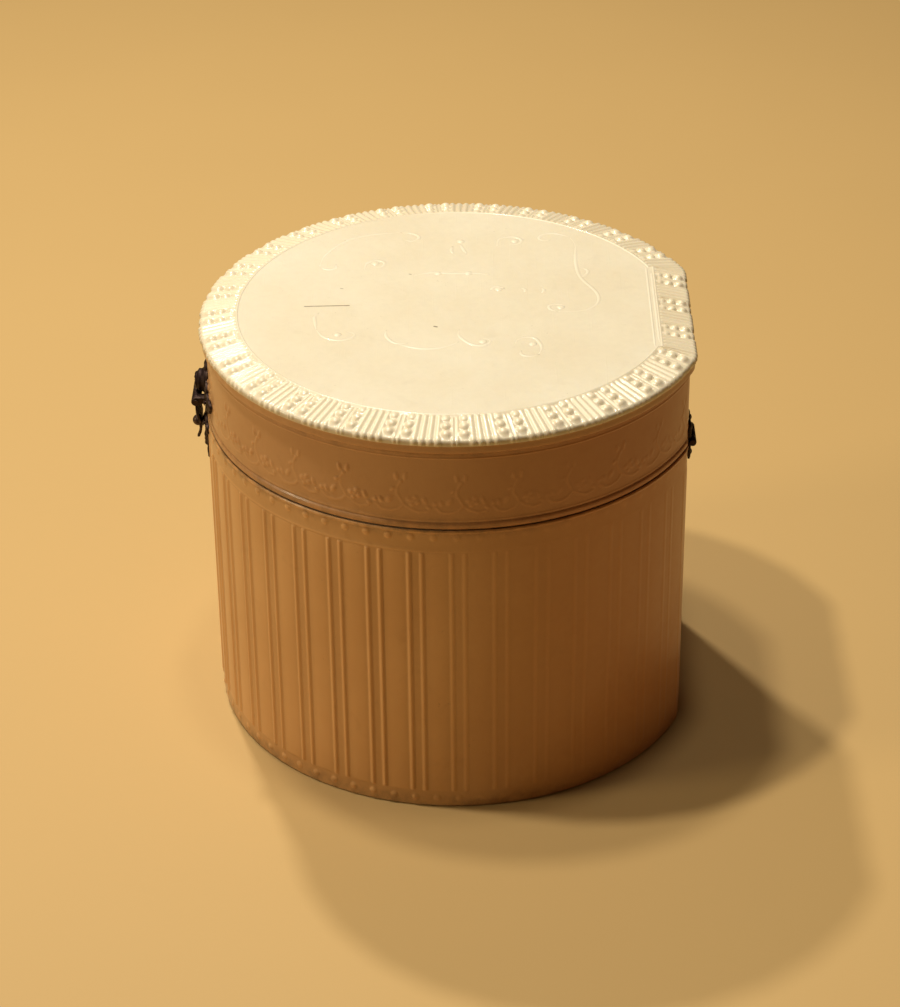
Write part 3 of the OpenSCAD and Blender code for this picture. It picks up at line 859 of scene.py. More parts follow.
def make_medallion(sizes):
    """Faint scrollwork on the level centre, with the double line inside the straight border."""
    drawn = [
        [(-45.9, 35.1), (-41.1, 37), (-34.6, 36.7), (-28.1, 36.5), (-18.4, 37.3), (-9.7, 42.1),
         (-4.3, 43), (0, 41.6), (3.2, 37.8), (3.2, 30.3)],
        [(-40, 13), (-43.8, 13.2), (-45.9, 15.1), (-46.5, 18.4), (-43.8, 21.1), (-40.8, 19.4),
         (-41.3, 16.7)],
        [(-45.6, 35.3), (-48.6, 31.3), (-48.1, 27.6), (-45.4, 25.4), (-43, 27), (-43.8, 29.4)],
        [(3.5, 30.5), (1.6, 27.6), (-1.3, 28.1), (-1.6, 31.3), (0.2, 32.6)],
        [(-24.9, -27), (-29.2, -26.5), (-31.1, -23.2), (-29.2, -20.5), (-25.9, -21.8), (-26.5, -24.9)],
        [(-27, -40.5), (-34.6, -39.4), (-45.4, -32.4), (-48.6, -24.9), (-49.7, -16.2)],
        [(-26.7, -40.3), (-24.3, -38.4), (-25.4, -35.1), (-28.3, -35.7)],
        [(-49.4, -16), (-48.8, -11.9), (-45.4, -10.3), (-43.2, -13), (-44.8, -15.7)],
        [(-41.1, 1.9), (-37.8, 2.7), (-34.6, 3.8)],
        [(-40, -0.5), (-37.3, -1.1), (-34.4, -0.2)],
        [(-10.8, 10.8), (-12.3, 11.5), (-13, 12.4), (-12.5, 14), (-11.3, 15.1)],
        [(-11.9, 20), (-10.8, 21.4), (-9.2, 20.7)],
        [(-11.9, 25.9), (-10.3, 27), (-8.6, 25.9)],
        [(14, 1.6), (16.7, 1.3), (18.4, 1.6), (22.7, 4.3), (24.3, 7.6), (23.2, 10.3), (20.5, 10.8),
         (19.4, 8.4)],
        [(22.7, 17.8), (20.3, 18.2), (19, 20.5), (18.9, 23.2), (22.7, 24.9), (25.9, 25.4),
         (29.2, 24.3)],
        [(29.5, 24.5), (30.8, 21.6), (29.4, 18.9), (27, 19.4)],
        [(13, -40), (18.4, -37.8), (20.5, -33.5), (19.4, -29.2), (16.2, -28.1), (14.9, -30.8)],
        [(14, -19.4), (17.3, -19.7), (20.5, -18.4), (22.7, -16.2), (22.2, -13)],
        [(22.7, -16.2), (25.9, -9.7), (25.4, -3.2), (21.6, 1.6)],
        [(-18.4, 37.3), (-20.5, 40), (-23.8, 40.2), (-24.9, 37.8)],
        [(-20.5, -11.9), (-22.7, -6.5), (-21.4, 0), (-22.2, 5.4), (-20.5, 10.8)],
        [(3.2, -39.4), (5.4, -40.8), (9.7, -40.2), (13.3, -39.8)],
    ]
    meshes = [ribbon(line, 0.42, sizes.scroll_height / MM, PANEL_Z) for line in drawn]
    dot = [(-0.05, 0.3), (-0.05, 1.25), (0.0, 1.25), (0.05, 0.95), (0.14, 0.6), (0.19, 0.3),
           (0.2, 0.05)]
    for x, y in [(-43.2, 18.4), (-28.6, -23.8), (0.5, 31.3), (21.6, 8.4), (23.2, 22.7), (-11.2, 13.2),
                 (-43.2, 1.9), (16.7, -33.5), (-21.8, -4.8), (-21.8, 4.3)]:
        meshes.append(lathe("dot", dot, (x, y, PANEL_Z - 0.01), (0, 0, 1), 16))
    for y, half in ((59.0, 0.3), (57.6, 0.26)):
        x = math.sqrt(PANEL_R ** 2 - y ** 2)
        meshes.append(ribbon([(-x, y), (0, y), (x, y)], half, 0.12, PANEL_Z, 0.05))
    obj = joined("lid_scrollwork", meshes)
    obj.data.attributes.new("relief", "FLOAT", "POINT").data.foreach_set(
        "value", np.full(len(obj.data.vertices), 0.13 * MM, np.float32))
    return settle(obj, "lid", [], finish_of("lid_ivory"))


# ---- the walls ----

REED_PAIRS = 38                       # pairs of fillets round the body
BODY_BEADS = 71                       # beads in each row round the body
REED_TOP = 88.62                      # height of the line over the reeds
FLOWER_PITCH = 16.4                   # about how far one sprig of the band is from the next


def wall_sheet(name, r, columns, levels, thickness, bulge=None):
    """A sheet wrapped round the plan, with a plain inner face, ready for a node group."""
    path = plan_path(r, WALL_FLAT, CORNER_R, columns)
    levels = np.asarray(levels, float)
    n = np.concatenate([path["n"], np.zeros((columns, 1))], 1)
    flat = np.concatenate([path["p"], np.zeros((columns, 1))], 1)
    outset = np.zeros((len(levels), columns)) - RELIEF_ROOM / 2
    if bulge is not None:
        outset = outset + bulge(levels)[:, None] * (1 - smooth(path["way"], 0, 1))[None]
    up = np.zeros((len(levels), columns, 3))
    up[..., 2] = levels[:, None]
    face = flat[None] + n[None] * outset[..., None] + up
    back_levels = np.linspace(levels[-1], levels[0], 5)
    back = flat[None] - n[None] * thickness + np.array([0, 0, 1.0]) * back_levels[:, None, None]
    rings = np.concatenate([face, back])
    total = len(levels) + 5
    up_mark = np.concatenate([levels, back_levels])
    keep = np.concatenate([np.ones(len(levels)), np.zeros(5)])
    marks = {
        "along": np.repeat(path["s"][None], total, 0) * MM,
        "up": np.repeat(up_mark[:, None], columns, 1) * MM,
        "out": n[None] * keep[:, None, None] + 0 * rings,
    }
    return add_object(name, ring_mesh(name, rings, marks)), path


def rubbed_side(along):
    """1 on the side that hands have rubbed, to the right of the clasp, and 0 elsewhere."""
    return along.rise(96.0 * MM, 124.0 * MM).least(along.rise(228.0 * MM, 200.0 * MM))


def make_body_cover(sizes):
    """The reeded sheet round the body, with a row of beads at each edge."""
    fine = [np.linspace(1.75, 4.45, 9), np.linspace(91.85, 94.45, 9)]
    levels = np.concatenate([
        [BODY_LOW, BODY_LOW + 0.25, 1.2], fine[0], [4.9, 5.2, 5.5, 5.8, 6.1, 6.5], np.linspace(12, 82, 8),
        [87.6, 88.0, 88.3, 88.45, 88.6, 88.75, 89.3, 90.4, 91.3], fine[1],
        BODY_TOP - np.array([1.15, 0.95, 0.82, 0.66, 0.5, 0.34, 0.2, 0.1, 0.04, 0])])
    obj, path = wall_sheet("body_cover_sheet", BODY_R, 1540, levels, 0.5)
    total = path["total"]

    def rule(field, size):
        along, up = field("along"), field("up")
        pair = abs((along - size("First pair")).about(size("Period")))
        fillet = (abs(pair - size("Pair offset")) / size("Fillet half width")).hill(1.1)
        edge = size("Pair offset") + size("Fillet half width")
        flute = pair.rise(size("Pair offset") - 0.35 * MM, 0.3 * MM) * size("Flute depth") * -1.0
        crown = ((pair - size("Period") * 0.5) / (size("Period") * 0.5 - edge)).hill(1.0)
        reeds = (fillet * size("Fillet height")).most(crown * size("Panel crown") + flute)
        rubbed = 1.0 - rubbed_side(along) * size("Wear of the rubbed side")
        reeds = reeds * rubbed
        held = up.rise(5.3 * MM, 6.1 * MM).least(up.rise(88.5 * MM, 87.8 * MM))
        height = reeds * held
        line = (abs(up - REED_TOP * MM) / (0.28 * MM)).hill(1.0) * 0.14 * MM
        height = height.most(line * rubbed * up.rise(88.2 * MM, 88.3 * MM))
        lip = (abs(up - (BODY_TOP - 0.5) * MM) / (0.46 * MM)).hill(0.7)
        height = height.most(lip * size("Lip height"))
        for row in ("lower", "upper"):
            level = up - size(f"Height of the {row} row")
            away = longer((along + 0.4 * MM).about(size("Bead pitch")), level)
            height = height.most((away / size("Bead radius")).hill(0.8) * size("Bead height") * rubbed)
        return height

    tree = embossing("Reeded wall", {
        "Period": total / REED_PAIRS * MM, "First pair": 80.45 * MM, "Pair offset": 1.85 * MM,
        "Fillet half width": 0.8 * MM, "Fillet height": 0.46 * MM, "Flute depth": 0.22 * MM,
        "Panel crown": 0.14 * MM, "Bead pitch": total / BODY_BEADS * MM, "Bead radius": 1.15 * MM,
        "Bead height": 0.36 * MM, "Height of the lower row": 3.1 * MM,
        "Height of the upper row": 93.15 * MM,
        "Wear of the rubbed side": 0.82, "Lip height": 0.24 * MM}, rule)
    made(obj, tree, finish_of("body_ivory_shaded"), {"Fillet height": sizes.reed_height})
    return settle(obj, "body", ["body_cover"])


# one repeat of the band's flowers, in millimetres: (x, height) from the middle and the lower edge
BAND_STEMS = [
    [(-0.2, 14.6), (-1.1, 12.8), (-1.2, 11.0), (-0.2, 9.2), (0.6, 7.6)],
    [(0.6, 7.6), (-0.8, 6.0), (-3.2, 5.2), (-5.6, 5.5), (-6.9, 6.9)],
    [(0.6, 7.6), (2.6, 6.2), (4.9, 5.3), (7.2, 5.8)],
]
BAND_PETALS = [                       # x, height, half width, half length, lean in degrees
    (-1.25, 16.4, 0.55, 1.3, -8), (1.15, 16.5, 0.55, 1.3, 10), (0.0, 14.9, 0.45, 0.6, 0),
    (-3.3, 8.9, 0.75, 1.35, 28), (2.2, 9.2, 0.85, 0.85, 0), (3.8, 10.0, 0.8, 0.8, 0),
    (4.4, 8.4, 0.85, 0.75, 0), (2.9, 7.7, 0.7, 0.75, 0), (3.3, 8.9, 0.45, 0.45, 0),
    (6.3, 9.1, 0.6, 1.35, -24), (-5.6, 8.4, 0.6, 1.1, -30), (-7.2, 8.3, 0.7, 0.7, 0),
    (-2.2, 12.3, 0.42, 0.9, 50), (7.4, 6.9, 0.5, 0.9, -50),
]


def make_lid_band(sizes):
    """The band round the lid, with its running flowers, fine lines and half-round lower bead."""
    low = BAND_LOW
    levels = np.concatenate([
        low + np.array([0, 0.12, 0.35, 0.65, 1.05, 1.45, 1.75, 1.98, 2.15, 2.4, 2.7, 3.0, 3.4, 3.9]),
        np.arange(low + 4.4, low + 18.7, 0.36), low + np.array([19.5, 20.5, 21.5]),
        np.linspace(low + 22.2, low + 23.3, 6), [BAND_TOP - 0.7, BAND_TOP]])

    def bulge(z):
        t = (z - low - 1.05) / 1.05
        return 0.5 * np.sqrt(np.clip(1 - t * t, 0, 1))

    obj, path = wall_sheet("lid_band_sheet", LID_R, 1200, levels, 0.5, bulge)
    count = round(path["total"] / FLOWER_PITCH)

    def rule(field, size):
        up = field("up") - low * MM
        along = field("along")
        drift = (along * (2 * math.pi * 7 / (path["total"] * MM))).math("SINE") * 0.5 * MM
        x = (along + drift - size("First flower")).about(size("Repeat"))
        worn = (along * (2 * math.pi * 11 / (path["total"] * MM)) + 1.3).math("SINE") * 0.25 + 0.8
        worn = worn * (1.0 - rubbed_side(along) * 0.6)
        height = None
        for stem in BAND_STEMS:
            stem = [(a * MM, b * MM) for a, b in stem]
            for a, b in zip(stem[:-1], stem[1:]):
                part = (near_line(x, up, a, b) / size("Stem half width")).hill(1.0)
                height = part if height is None else height.most(part)
        height = height * size("Stem height")
        for px, pz, half_w, half_l, lean in BAND_PETALS:
            c, s = math.cos(math.radians(lean)), math.sin(math.radians(lean))
            dx, dz = x - px * MM, up - pz * MM
            length = (dx * s + dz * c) / (half_l * 1.12 * MM)
            across = (dx * c - dz * s) / (half_w * 1.12 * MM)
            height = height.most(longer(length, across).hill(0.85) * size("Flower height") * worn)
        for z, tall in ((2.75, 0.16), (22.75, 0.14)):
            height = height.most((abs(up - z * MM) / (0.3 * MM)).hill(1.0) * tall * MM)
        return height

    tree = embossing("Flowered band", {
        "First flower": 2.0 * MM, "Repeat": path["total"] / count * MM, "Flower height": 0.38 * MM,
        "Stem half width": 0.4 * MM, "Stem height": 0.13 * MM}, rule)
    made(obj, tree, finish_of("band_ivory_shaded"), {"Flower height": sizes.flower_height})
    return settle(obj, "lid", ["lid_band"])


# ---- linings and pads ----

def gathers(s, total, z, seed):
    """Soft upright folds of a pasted cloth, between 0 and 1."""
    rng = np.random.default_rng(seed)
    value = np.zeros(np.broadcast(s, z).shape)
    for _ in range(9):
        waves = rng.integers(18, 95)
        value = value + rng.uniform(0.4, 1.0) * np.sin(
            2 * math.pi * waves * s / total + rng.uniform(0, 6.3) + 0.05 * z * rng.uniform(-1, 1))
    return 0.5 + 0.5 * np.tanh(value * 0.55)


def make_linings():
    """The satin pasted round the inside of the body and of the lid."""
    for name, node, body, r, box, seed in (
            ("body_lining_cloth", "body_lining", "body", BODY_R, LINING_BOX, 3),
            ("lid_lining_cloth", "lid_lining", "lid", LID_R, LID_LINING_BOX, 8)):
        columns = 900
        path = plan_path(r, WALL_FLAT, CORNER_R, columns)
        low, high = box[0][2], box[1][2]
        levels = np.concatenate([
            [low, low + 0.3], np.linspace(low + 2, high - 2, 14), [high - 0.8, high - 0.2, high]])
        fold = gathers(path["s"][None], path["total"], levels[:, None], seed)
        ends = np.minimum(smooth(levels, low, low + 0.5), smooth(-levels, -high, -high + 0.5))
        deep = (0.16 + 0.32 * fold) * (0.35 + 0.65 * ends[:, None])
        n = np.concatenate([path["n"], np.zeros((columns, 1))], 1)
        flat = np.concatenate([path["p"], np.zeros((columns, 1))], 1)
        lift = np.array([0, 0, 1.0]) * levels[:, None, None]
        inner = flat[None] - n[None] * (WALL_IN + 0.02 + deep)[..., None] + lift
        edges = np.array([0, 0, 1.0]) * np.array([high, low])[:, None, None]
        back = flat[None] - n[None] * WALL_IN + edges
        obj = add_object(name, ring_mesh(name, np.concatenate([inner, back])))
        obj.data.set_sharp_from_angle(angle=math.radians(60))
        settle(obj, body, [node], finish_of("satin"))


PAD_ROOM = 0.85                       # left round a pad for it to swell
PAD_VOXEL = 2.3
PAD_PRESSURE = 4.0
PAD_FRAMES = 20
PAD_SWELL = 1.5                       # no point of a pad moves further than this


def pad_start(name, r, low, high):
    """A slightly small, rounded pad to begin from."""
    columns = 180
    path = plan_path(r, WALL_FLAT, CORNER_R, columns)
    half = (high - low) / 2
    rings = []
    for a in np.linspace(-math.pi / 2, math.pi / 2, 9):
        d = WALL_IN + PAD_ROOM + half * 0.9 * (1 - math.cos(a))
        z = (low + high) / 2 + half * math.sin(a)
        xy = path["p"] - path["n"] * d
        rings.append(np.concatenate([xy, np.full((columns, 1), z)], 1))
    rings = np.array(rings)
    middle = np.array([0.0, -1.0, 0.0])
    shares = np.linspace(0.06, 0.94, 9)
    bottom = middle + (rings[0] - middle) * shares[:, None, None]
    bottom[..., 2] = low
    top = middle + (rings[-1] - middle) * shares[::-1, None, None]
    top[..., 2] = high
    return ring_mesh(name, np.concatenate([bottom, rings, top]), poles=True)


def swollen(name, r, low, high, crown_down, tufts):
    """A padded satin disc, swelled by a cloth simulation and held in the space of its CAD solid."""
    rise = 1.3
    start = (low + 0.1, high - rise) if not crown_down else (low + rise, high - 0.1)
    mesh = pad_start(name, r, *start)
    obj = add_object(name, mesh)
    remesh = obj.modifiers.new("remesh", "REMESH")
    remesh.mode, remesh.voxel_size = "VOXEL", PAD_VOXEL * MM
    graph = bpy.context.evaluated_depsgraph_get()
    mesh = bpy.data.meshes.new_from_object(obj.evaluated_get(graph), depsgraph=graph)
    obj.modifiers.clear()
    obj.data = mesh
    before = np.array([v.co for v in mesh.vertices])
    pins = obj.vertex_groups.new(name="held")
    near = np.full(len(before), 9.0)
    for x, y in tufts:
        near = np.minimum(near, np.hypot(before[:, 0] / MM - x, before[:, 1] / MM - y))
    held = np.nonzero(near < 2.4)[0].tolist()
    pins.add(held, 1.0, "REPLACE")
    cloth = obj.modifiers.new("swell", "CLOTH")
    s = cloth.settings
    s.vertex_group_mass = "held"
    s.quality = 6
    s.mass = 0.15
    s.tension_stiffness = s.compression_stiffness = 12
    s.bending_stiffness = 0.4
    s.use_pressure, s.uniform_pressure_force = True, PAD_PRESSURE
    s.effector_weights.gravity = 0.0
    cloth.collision_settings.use_collision = False
    cloth.point_cache.frame_start, cloth.point_cache.frame_end = 1, PAD_FRAMES
    scene = bpy.context.scene
    for number in range(1, PAD_FRAMES + 1):
        scene.frame_set(number)
    graph = bpy.context.evaluated_depsgraph_get()
    mesh = bpy.data.meshes.new_from_object(obj.evaluated_get(graph), depsgraph=graph)
    obj.modifiers.clear()
    obj.vertex_groups.clear()
    obj.data = mesh
    scene.frame_set(1)
    after = np.array([v.co for v in mesh.vertices])
    move = after - before
    far = np.linalg.norm(move, axis=1)[:, None]
    after = before + move * np.minimum(1, PAD_SWELL * MM / np.maximum(far, 1e-9))
    rng = np.random.default_rng(5 + int(crown_down))
    x, y = after[:, 0] / MM, after[:, 1] / MM
    ripple = sum(rng.uniform(0.3, 1) * np.sin(rng.integers(9, 34) * np.arctan2(y, x) + rng.uniform(0, 6))
                 for _ in range(6)) * smooth(np.hypot(x, y), 48, 68) * 0.10
    dimple = np.ones(len(x))
    for tx, ty in tufts:
        dimple = np.minimum(dimple, smooth(np.hypot(x - tx, y - ty), 0.6, 12.0) ** 0.7)
    for number, a in enumerate(tufts):
        for b in tufts[number + 1:]:
            if math.dist(a, b) < FOLD_REACH:
                dimple = np.minimum(dimple, 1 - 0.34 * smooth(-segment_gap(x, y, a, b), -4.2, 0))
    z = after[:, 2] / MM
    middle, share = (low + high) / 2, 0.5 + 0.5 * dimple
    if crown_down:
        z = np.where(z < middle + 0.4, high - 0.1 - (high - 0.1 - z - ripple) * share, z)
    else:
        z = np.where(z > middle - 0.4, low + 0.1 + (z - ripple - low - 0.1) * share, z)
    after[:, 2] = np.clip(z, low + 0.02, high - 0.02) * MM
    mesh.vertices.foreach_set("co", after.ravel())
    mesh.update()
    smoother = obj.modifiers.new("smooth", "SUBSURF")
    smoother.levels = smoother.render_levels = 1
    graph = bpy.context.evaluated_depsgraph_get()
    mesh = bpy.data.meshes.new_from_object(obj.evaluated_get(graph), depsgraph=graph)
    obj.modifiers.clear()
    obj.data = outwards(mesh)
    mesh.shade_smooth()
    return obj


TUFTS = [(0, -4), (34, -4), (-34, -4), (17, 26), (-17, 26), (17, -34), (-17, -34),
         (49, 26), (-49, 26), (49, -34), (-49, -34), (0, 55), (0, -62)]
FOLD_REACH = 36.0                     # tufts nearer to each other than this have a fold between them


def make_pads():
    """The padded satin floor and the padded satin under the lid, each with covered tufts."""
    for name, node, body, r, down, fill in (
            ("floor_pad", "base_pad", "body", BODY_R, False, 0.6),
            ("lid_pad", "lid_inner_pad", "lid", LID_R, True, 0.6)):
        low, high = reach(node)
        obj = swollen(name, r, low[2], high[2], down, TUFTS)
        settle(obj, body, [node], finish_of("satin"))
        dots = []
        for x, y in TUFTS:
            face = high[2] - 1.75 if not down else low[2] + 1.75
            way = -1 if down else 1
            profile = [(-0.5, 0.5), (-0.5, 1.7), (0.0, 1.95), (0.35, 1.7), (0.6, 1.1), (0.68, 0.4)]
            dots.append(lathe("tuft", profile, (x, y, face), (0, 0, way), 20))
        tufts = joined(name + "_tufts", dots)
        settle(tufts, body, [], finish_of("satin"))


# ---- clasp and hinges ----

def on_wall(r):
    """Puts a point of a plate on the front of a wall of radius r."""
    def place(x, z, h):
        return np.stack([x, -np.sqrt((r + PLATE_GAP + h) ** 2 - x ** 2), z], 1)
    return place


def circle_gap(x, z, cx, cz, r):
    return np.hypot(x - cx, z - cz) - r


def box_gap(x, z, cx, cz, hx, hz, r=0.0):
    qx, qz = np.abs(x - cx) - hx + r, np.abs(z - cz) - hz + r
    return np.hypot(np.maximum(qx, 0), np.maximum(qz, 0)) + np.minimum(np.maximum(qx, qz), 0) - r


def taper_gap(x, z, z0, w0, z1, w1):
    """A tongue whose half width goes from w0 at height z0 to w1 at z1."""
    t = np.clip((z - z0) / (z1 - z0), 0, 1)
    side = np.abs(x) - (w0 + (w1 - w0) * t)
    ends = np.maximum(min(z0, z1) - z, z - max(z0, z1))
    return np.maximum(side, ends)


def together(*gaps, soft=0.35):
    """One outline from several, with small fillets where they meet."""
    out = gaps[0]
    for g in gaps[1:]:
        k = np.clip(0.5 + 0.5 * (g - out) / soft, 0, 1)
        out = g * (1 - k) + out * k - soft * k * (1 - k)
    return out


def stamped_face(lines, dots, edge=0.5, field=0.72, rim=0.16, most=1.2):
    """The height of a stamped face: bevelled edge, raised rim, scrolls and dots."""
    def top(x, z, depth):
        ax = np.abs(x)
        h = edge + (field - edge) * smooth(depth, 0, 0.4)
        h = h + ridge(depth - 0.62, 0.3, rim)
        for points, half, tall in lines:
            h = np.maximum(h, field - 0.1 + ridge(line_gap(ax, z, points), half, tall + 0.1))
        for cx, cz, r, tall in dots:
            h = np.maximum(h, field - 0.1 + ridge(np.hypot(ax - cx, z - cz), r, tall + 0.1))
        return np.minimum(h, most)
    return top


def rosette(x, z, cx, cz, r, petals, tall):
    """Petals round a button."""
    d, a = np.hypot(x - cx, z - cz), np.arctan2(z - cz, x - cx)
    leaf = np.clip(np.cos(a * petals / 2) ** 2, 0, 1) ** 0.5
    rise = np.clip(1 - ((d / r - 0.62) / 0.40) ** 2, 0, 1) ** 0.7 * (0.35 + 0.65 * leaf)
    return tall * np.maximum(rise, np.clip(1 - (d / r / 0.30) ** 2, 0, 1) ** 0.6 * 1.1)


BOSS_FRONT = 77.3                     # how far out the boss's face is


def make_clasp():
    """The lid's stamped plate, the hasp with its ball, and the body's catch plate."""
    metal = finish_of("dark_bronze")
    pz = PIVOT_Z

    def clasp_outline(x, z):
        ax = np.abs(x)
        return together(
            box_gap(x, z, 0, pz + 0.45, 12, 1.1, 0.3), circle_gap(x, z, 0, pz + 4.3, 4.75),
            circle_gap(x, z, 0, pz + 8.2, 2.15), taper_gap(x, z, pz + 9.3, 1.7, pz + 11.3, 0.15),
            circle_gap(ax, z, 5.8, pz + 3.4, 3.05), circle_gap(ax, z, 11, pz + 2.8, 2.65),
            circle_gap(ax, z, 15.2, pz + 3.6, 2.05), circle_gap(ax, z, 17.55, pz + 4.8, 1.05))

    wing = [(scroll((5.9, pz + 3.5), 2.3, -2.4, 1.15), 0.42, 0.42),
            (scroll((15.2, pz + 3.6), 1.4, 3.4, -1.0), 0.34, 0.36),
            ([(7.8, pz + 1.2), (10, pz + 0.1), (12.6, pz + 0.6), (14.2, pz + 2.0)], 0.36, 0.34),
            ([(1.2, pz + 8.6), (0.0, pz + 10.3)], 0.4, 0.36),
            ([(0.3, pz + 0.35), (5.5, pz + 0.2)], 0.3, 0.22)]
    dots = [(17.5, pz + 4.8, 0.6, 0.4), (8.9, pz + 4.6, 0.5, 0.35), (13.2, pz + 4.7, 0.5, 0.3),
            (2.6, pz + 0.0, 0.4, 0.3), (0.0, pz + 8.2, 0.9, 0.3)]
    face = stamped_face(wing, dots)
    parts = [stamped("plate", clasp_outline, (-19.4, pz - 1.6), (19.4, pz + 12.2), 0.24, face,
                     on_wall(LID_R))]
    # the pressed boss with its rosette
    boss_top = pz + 4.4
    profile = [(-3.9, 3.9), (-3.4, 4.25), (-2.9, 4.05), (-2.4, 3.55), (-1.9, 3.4), (-1.5, 3.55),
               (-1.2, 3.3), (-0.9, 2.75), (-0.75, 2.7)]
    face_y = max(reach("clasp_plate")[0][1] + 0.25, -BOSS_FRONT)
    parts.append(lathe("boss", profile, (0, face_y, boss_top), (0, -1, 0), 64))
    parts.append(stamped(
        "rosette", lambda u, v: circle_gap(u, v, 0, boss_top, 2.72),
        (-3, boss_top - 3), (3, boss_top + 3), 0.17,
        lambda u, v, d: 0.2 * smooth(d, 0, 0.3) + rosette(u, v, 0, boss_top, 2.7, 6, 0.7),
        lambda u, v, h: np.stack([u, face_y + 0.85 - h, v], 1)))
    ear_in, ear_out, ear_r = 3.15, 6.0, 1.4
    for side in (-1, 1):
        def ear(y, z):
            return together(circle_gap(y, z, PIVOT_Y, pz, ear_r),
                            box_gap(y, z, PIVOT_Y + 1.6, pz + 0.35, 1.75, 1.05, 0.2), soft=0.2)
        parts.append(stamped(
            "ear", ear, (PIVOT_Y - 1.7, pz - 1.7), (PIVOT_Y + 3.6, pz + 1.7), 0.14,
            lambda y, z, d: (ear_out - ear_in) - 0.25 * (1 - smooth(d, 0, 0.3)),
            lambda y, z, h, s=side: np.stack([s * (ear_in + h), y, z], 1),
            lambda y, z: 0 * y))
    plate = joined("clasp_stamping", parts)
    settle(plate, "lid", ["clasp_plate"], metal)

    # the hasp, bowed out at its pivot and flared at its tail
    face_line = np.array([[0, 0.4], [-1.5, 0.6], [-4, 0.35], [-7, -0.1], [-7.5, -0.3], [-11.2, -0.3],
                          [-13, 0], [-15.1, 0.9]])

    def hasp_depth(z):
        order = np.argsort(face_line[:, 0])
        fine = np.linspace(-15.3, 0.2, 80)
        value = np.interp(fine, face_line[order, 0], face_line[order, 1])
        kernel = np.ones(5) / 5
        value = np.convolve(np.pad(value, 2, mode="edge"), kernel, "valid")
        return np.interp(z, fine, value)

    def hasp_outline(x, z):
        return together(box_gap(x, z, 0, pz - 1.6, 3.0, 1.6, 0.2), circle_gap(x, z, 0, pz - 5.4, 4.55),
                        circle_gap(x, z, 0, pz - 9.3, 2.9), taper_gap(x, z, pz - 11, 1.6, pz - 14.3, 0.8),
                        circle_gap(x, z, 0, pz - 14.2, 0.88))

    hasp_lines = [(scroll((2.3, pz - 5.6), 1.55, 1.9, -1.1), 0.36, 0.3),
                  ([(0.0, pz - 1.6), (0.0, pz - 3.4)], 0.5, 0.26),
                  ([(0.0, pz - 12.2), (0.0, pz - 14.3)], 0.4, 0.16)]
    hasp_dots = [(0.0, pz - 5.0, 0.85, 0.34), (2.2, pz - 1.9, 0.42, 0.24)]
    hasp_face = stamped_face(hasp_lines, hasp_dots, 0.0, 0.0, 0.14, 0.34)

    def on_hasp(x, z, h):
        return np.stack([x, PIVOT_Y - hasp_depth(z - pz) - h, z], 1)

    parts = [stamped("hasp", hasp_outline, (-5, pz - 15.6), (5, pz + 0.4), 0.2,
                     lambda x, z, d: hasp_face(x, z, d) - 0.12 * (1 - smooth(d, 0, 0.3)), on_hasp,
                     lambda x, z: 0 * x - 0.7)]
    roll = [(-2.98, 1.15), (-2.85, 1.38), (-2.1, 1.38), (-1.95, 1.2), (-1.75, 1.38), (-0.6, 1.38),
            (-0.45, 1.22)]
    roll = roll + [(-h, r) for h, r in reversed(roll)]
    parts.append(lathe("knuckle", roll, (0, PIVOT_Y, pz), (1, 0, 0), 36))
    hasp = joined("hasp_stamping", parts)
    settle(hasp, "hasp", ["hasp"], metal)

    knob_box = reach("hasp_knob")
    knob_z = (knob_box[0][2] + knob_box[1][2]) / 2
    outer_y = knob_box[0][1]
    ball_r = 1.7
    middle = -(outer_y + ball_r)      # distance out to the ball's middle
    profile = [(middle - 3.6, 0.35), (middle - 3.55, 0.58), (middle - 1.9, 0.6), (middle - 1.85, 1.25),
               (middle - 1.65, 1.42), (middle - 1.42, 1.3), (middle - 1.35, 0.98)]
    profile += [(middle + ball_r * math.sin(a), ball_r * math.cos(a)) for a in np.linspace(-0.9, 1.52, 13)]
    knob = add_object("hasp_ball", lathe("hasp_ball", profile, (0, 0, knob_z), (0, -1, 0), 40))
    count = len(knob.data.vertices)
    knob.data.attributes.new("relief", "FLOAT", "POINT").data.foreach_set(
        "value", np.full(count, 0.85 * MM, np.float32))
    settle(knob, "hasp", ["hasp_knob"], metal)

    def catch_outline(x, z):
        ax = np.abs(x)
        return together(
            box_gap(x, z, 0, pz - 5.6, 8, 1.55, 0.3), circle_gap(x, z, 0, pz - 8.2, 4.55),
            circle_gap(ax, z, 7.4, pz - 6.1, 2.25), circle_gap(ax, z, 10.3, pz - 6.7, 1.55),
            taper_gap(x, z, pz - 18.6, 1.9, pz - 10, 3.0), circle_gap(x, z, 0, pz - 19.2, 2.25),
            taper_gap(x, z, pz - 22.3, 0.12, pz - 20.1, 2.0))

    lines = [(scroll((3.0, pz - 9.0), 1.3, 0.4, 1.0), 0.34, 0.34),
             ([(9.2, pz - 5.6), (10.9, pz - 6.1), (10.8, pz - 7.4), (9.9, pz - 7.2)], 0.3, 0.3),
             ([(0.0, pz - 20.6), (0.0, pz - 22.0)], 0.35, 0.3),
             ([(1.1, pz - 18.9), (0.7, pz - 20.2)], 0.3, 0.3)]
    dots = [(0.0, pz - 19.2, 0.7, 0.42), (5.2, pz - 4.9, 0.4, 0.28)]
    face = stamped_face(lines, dots)

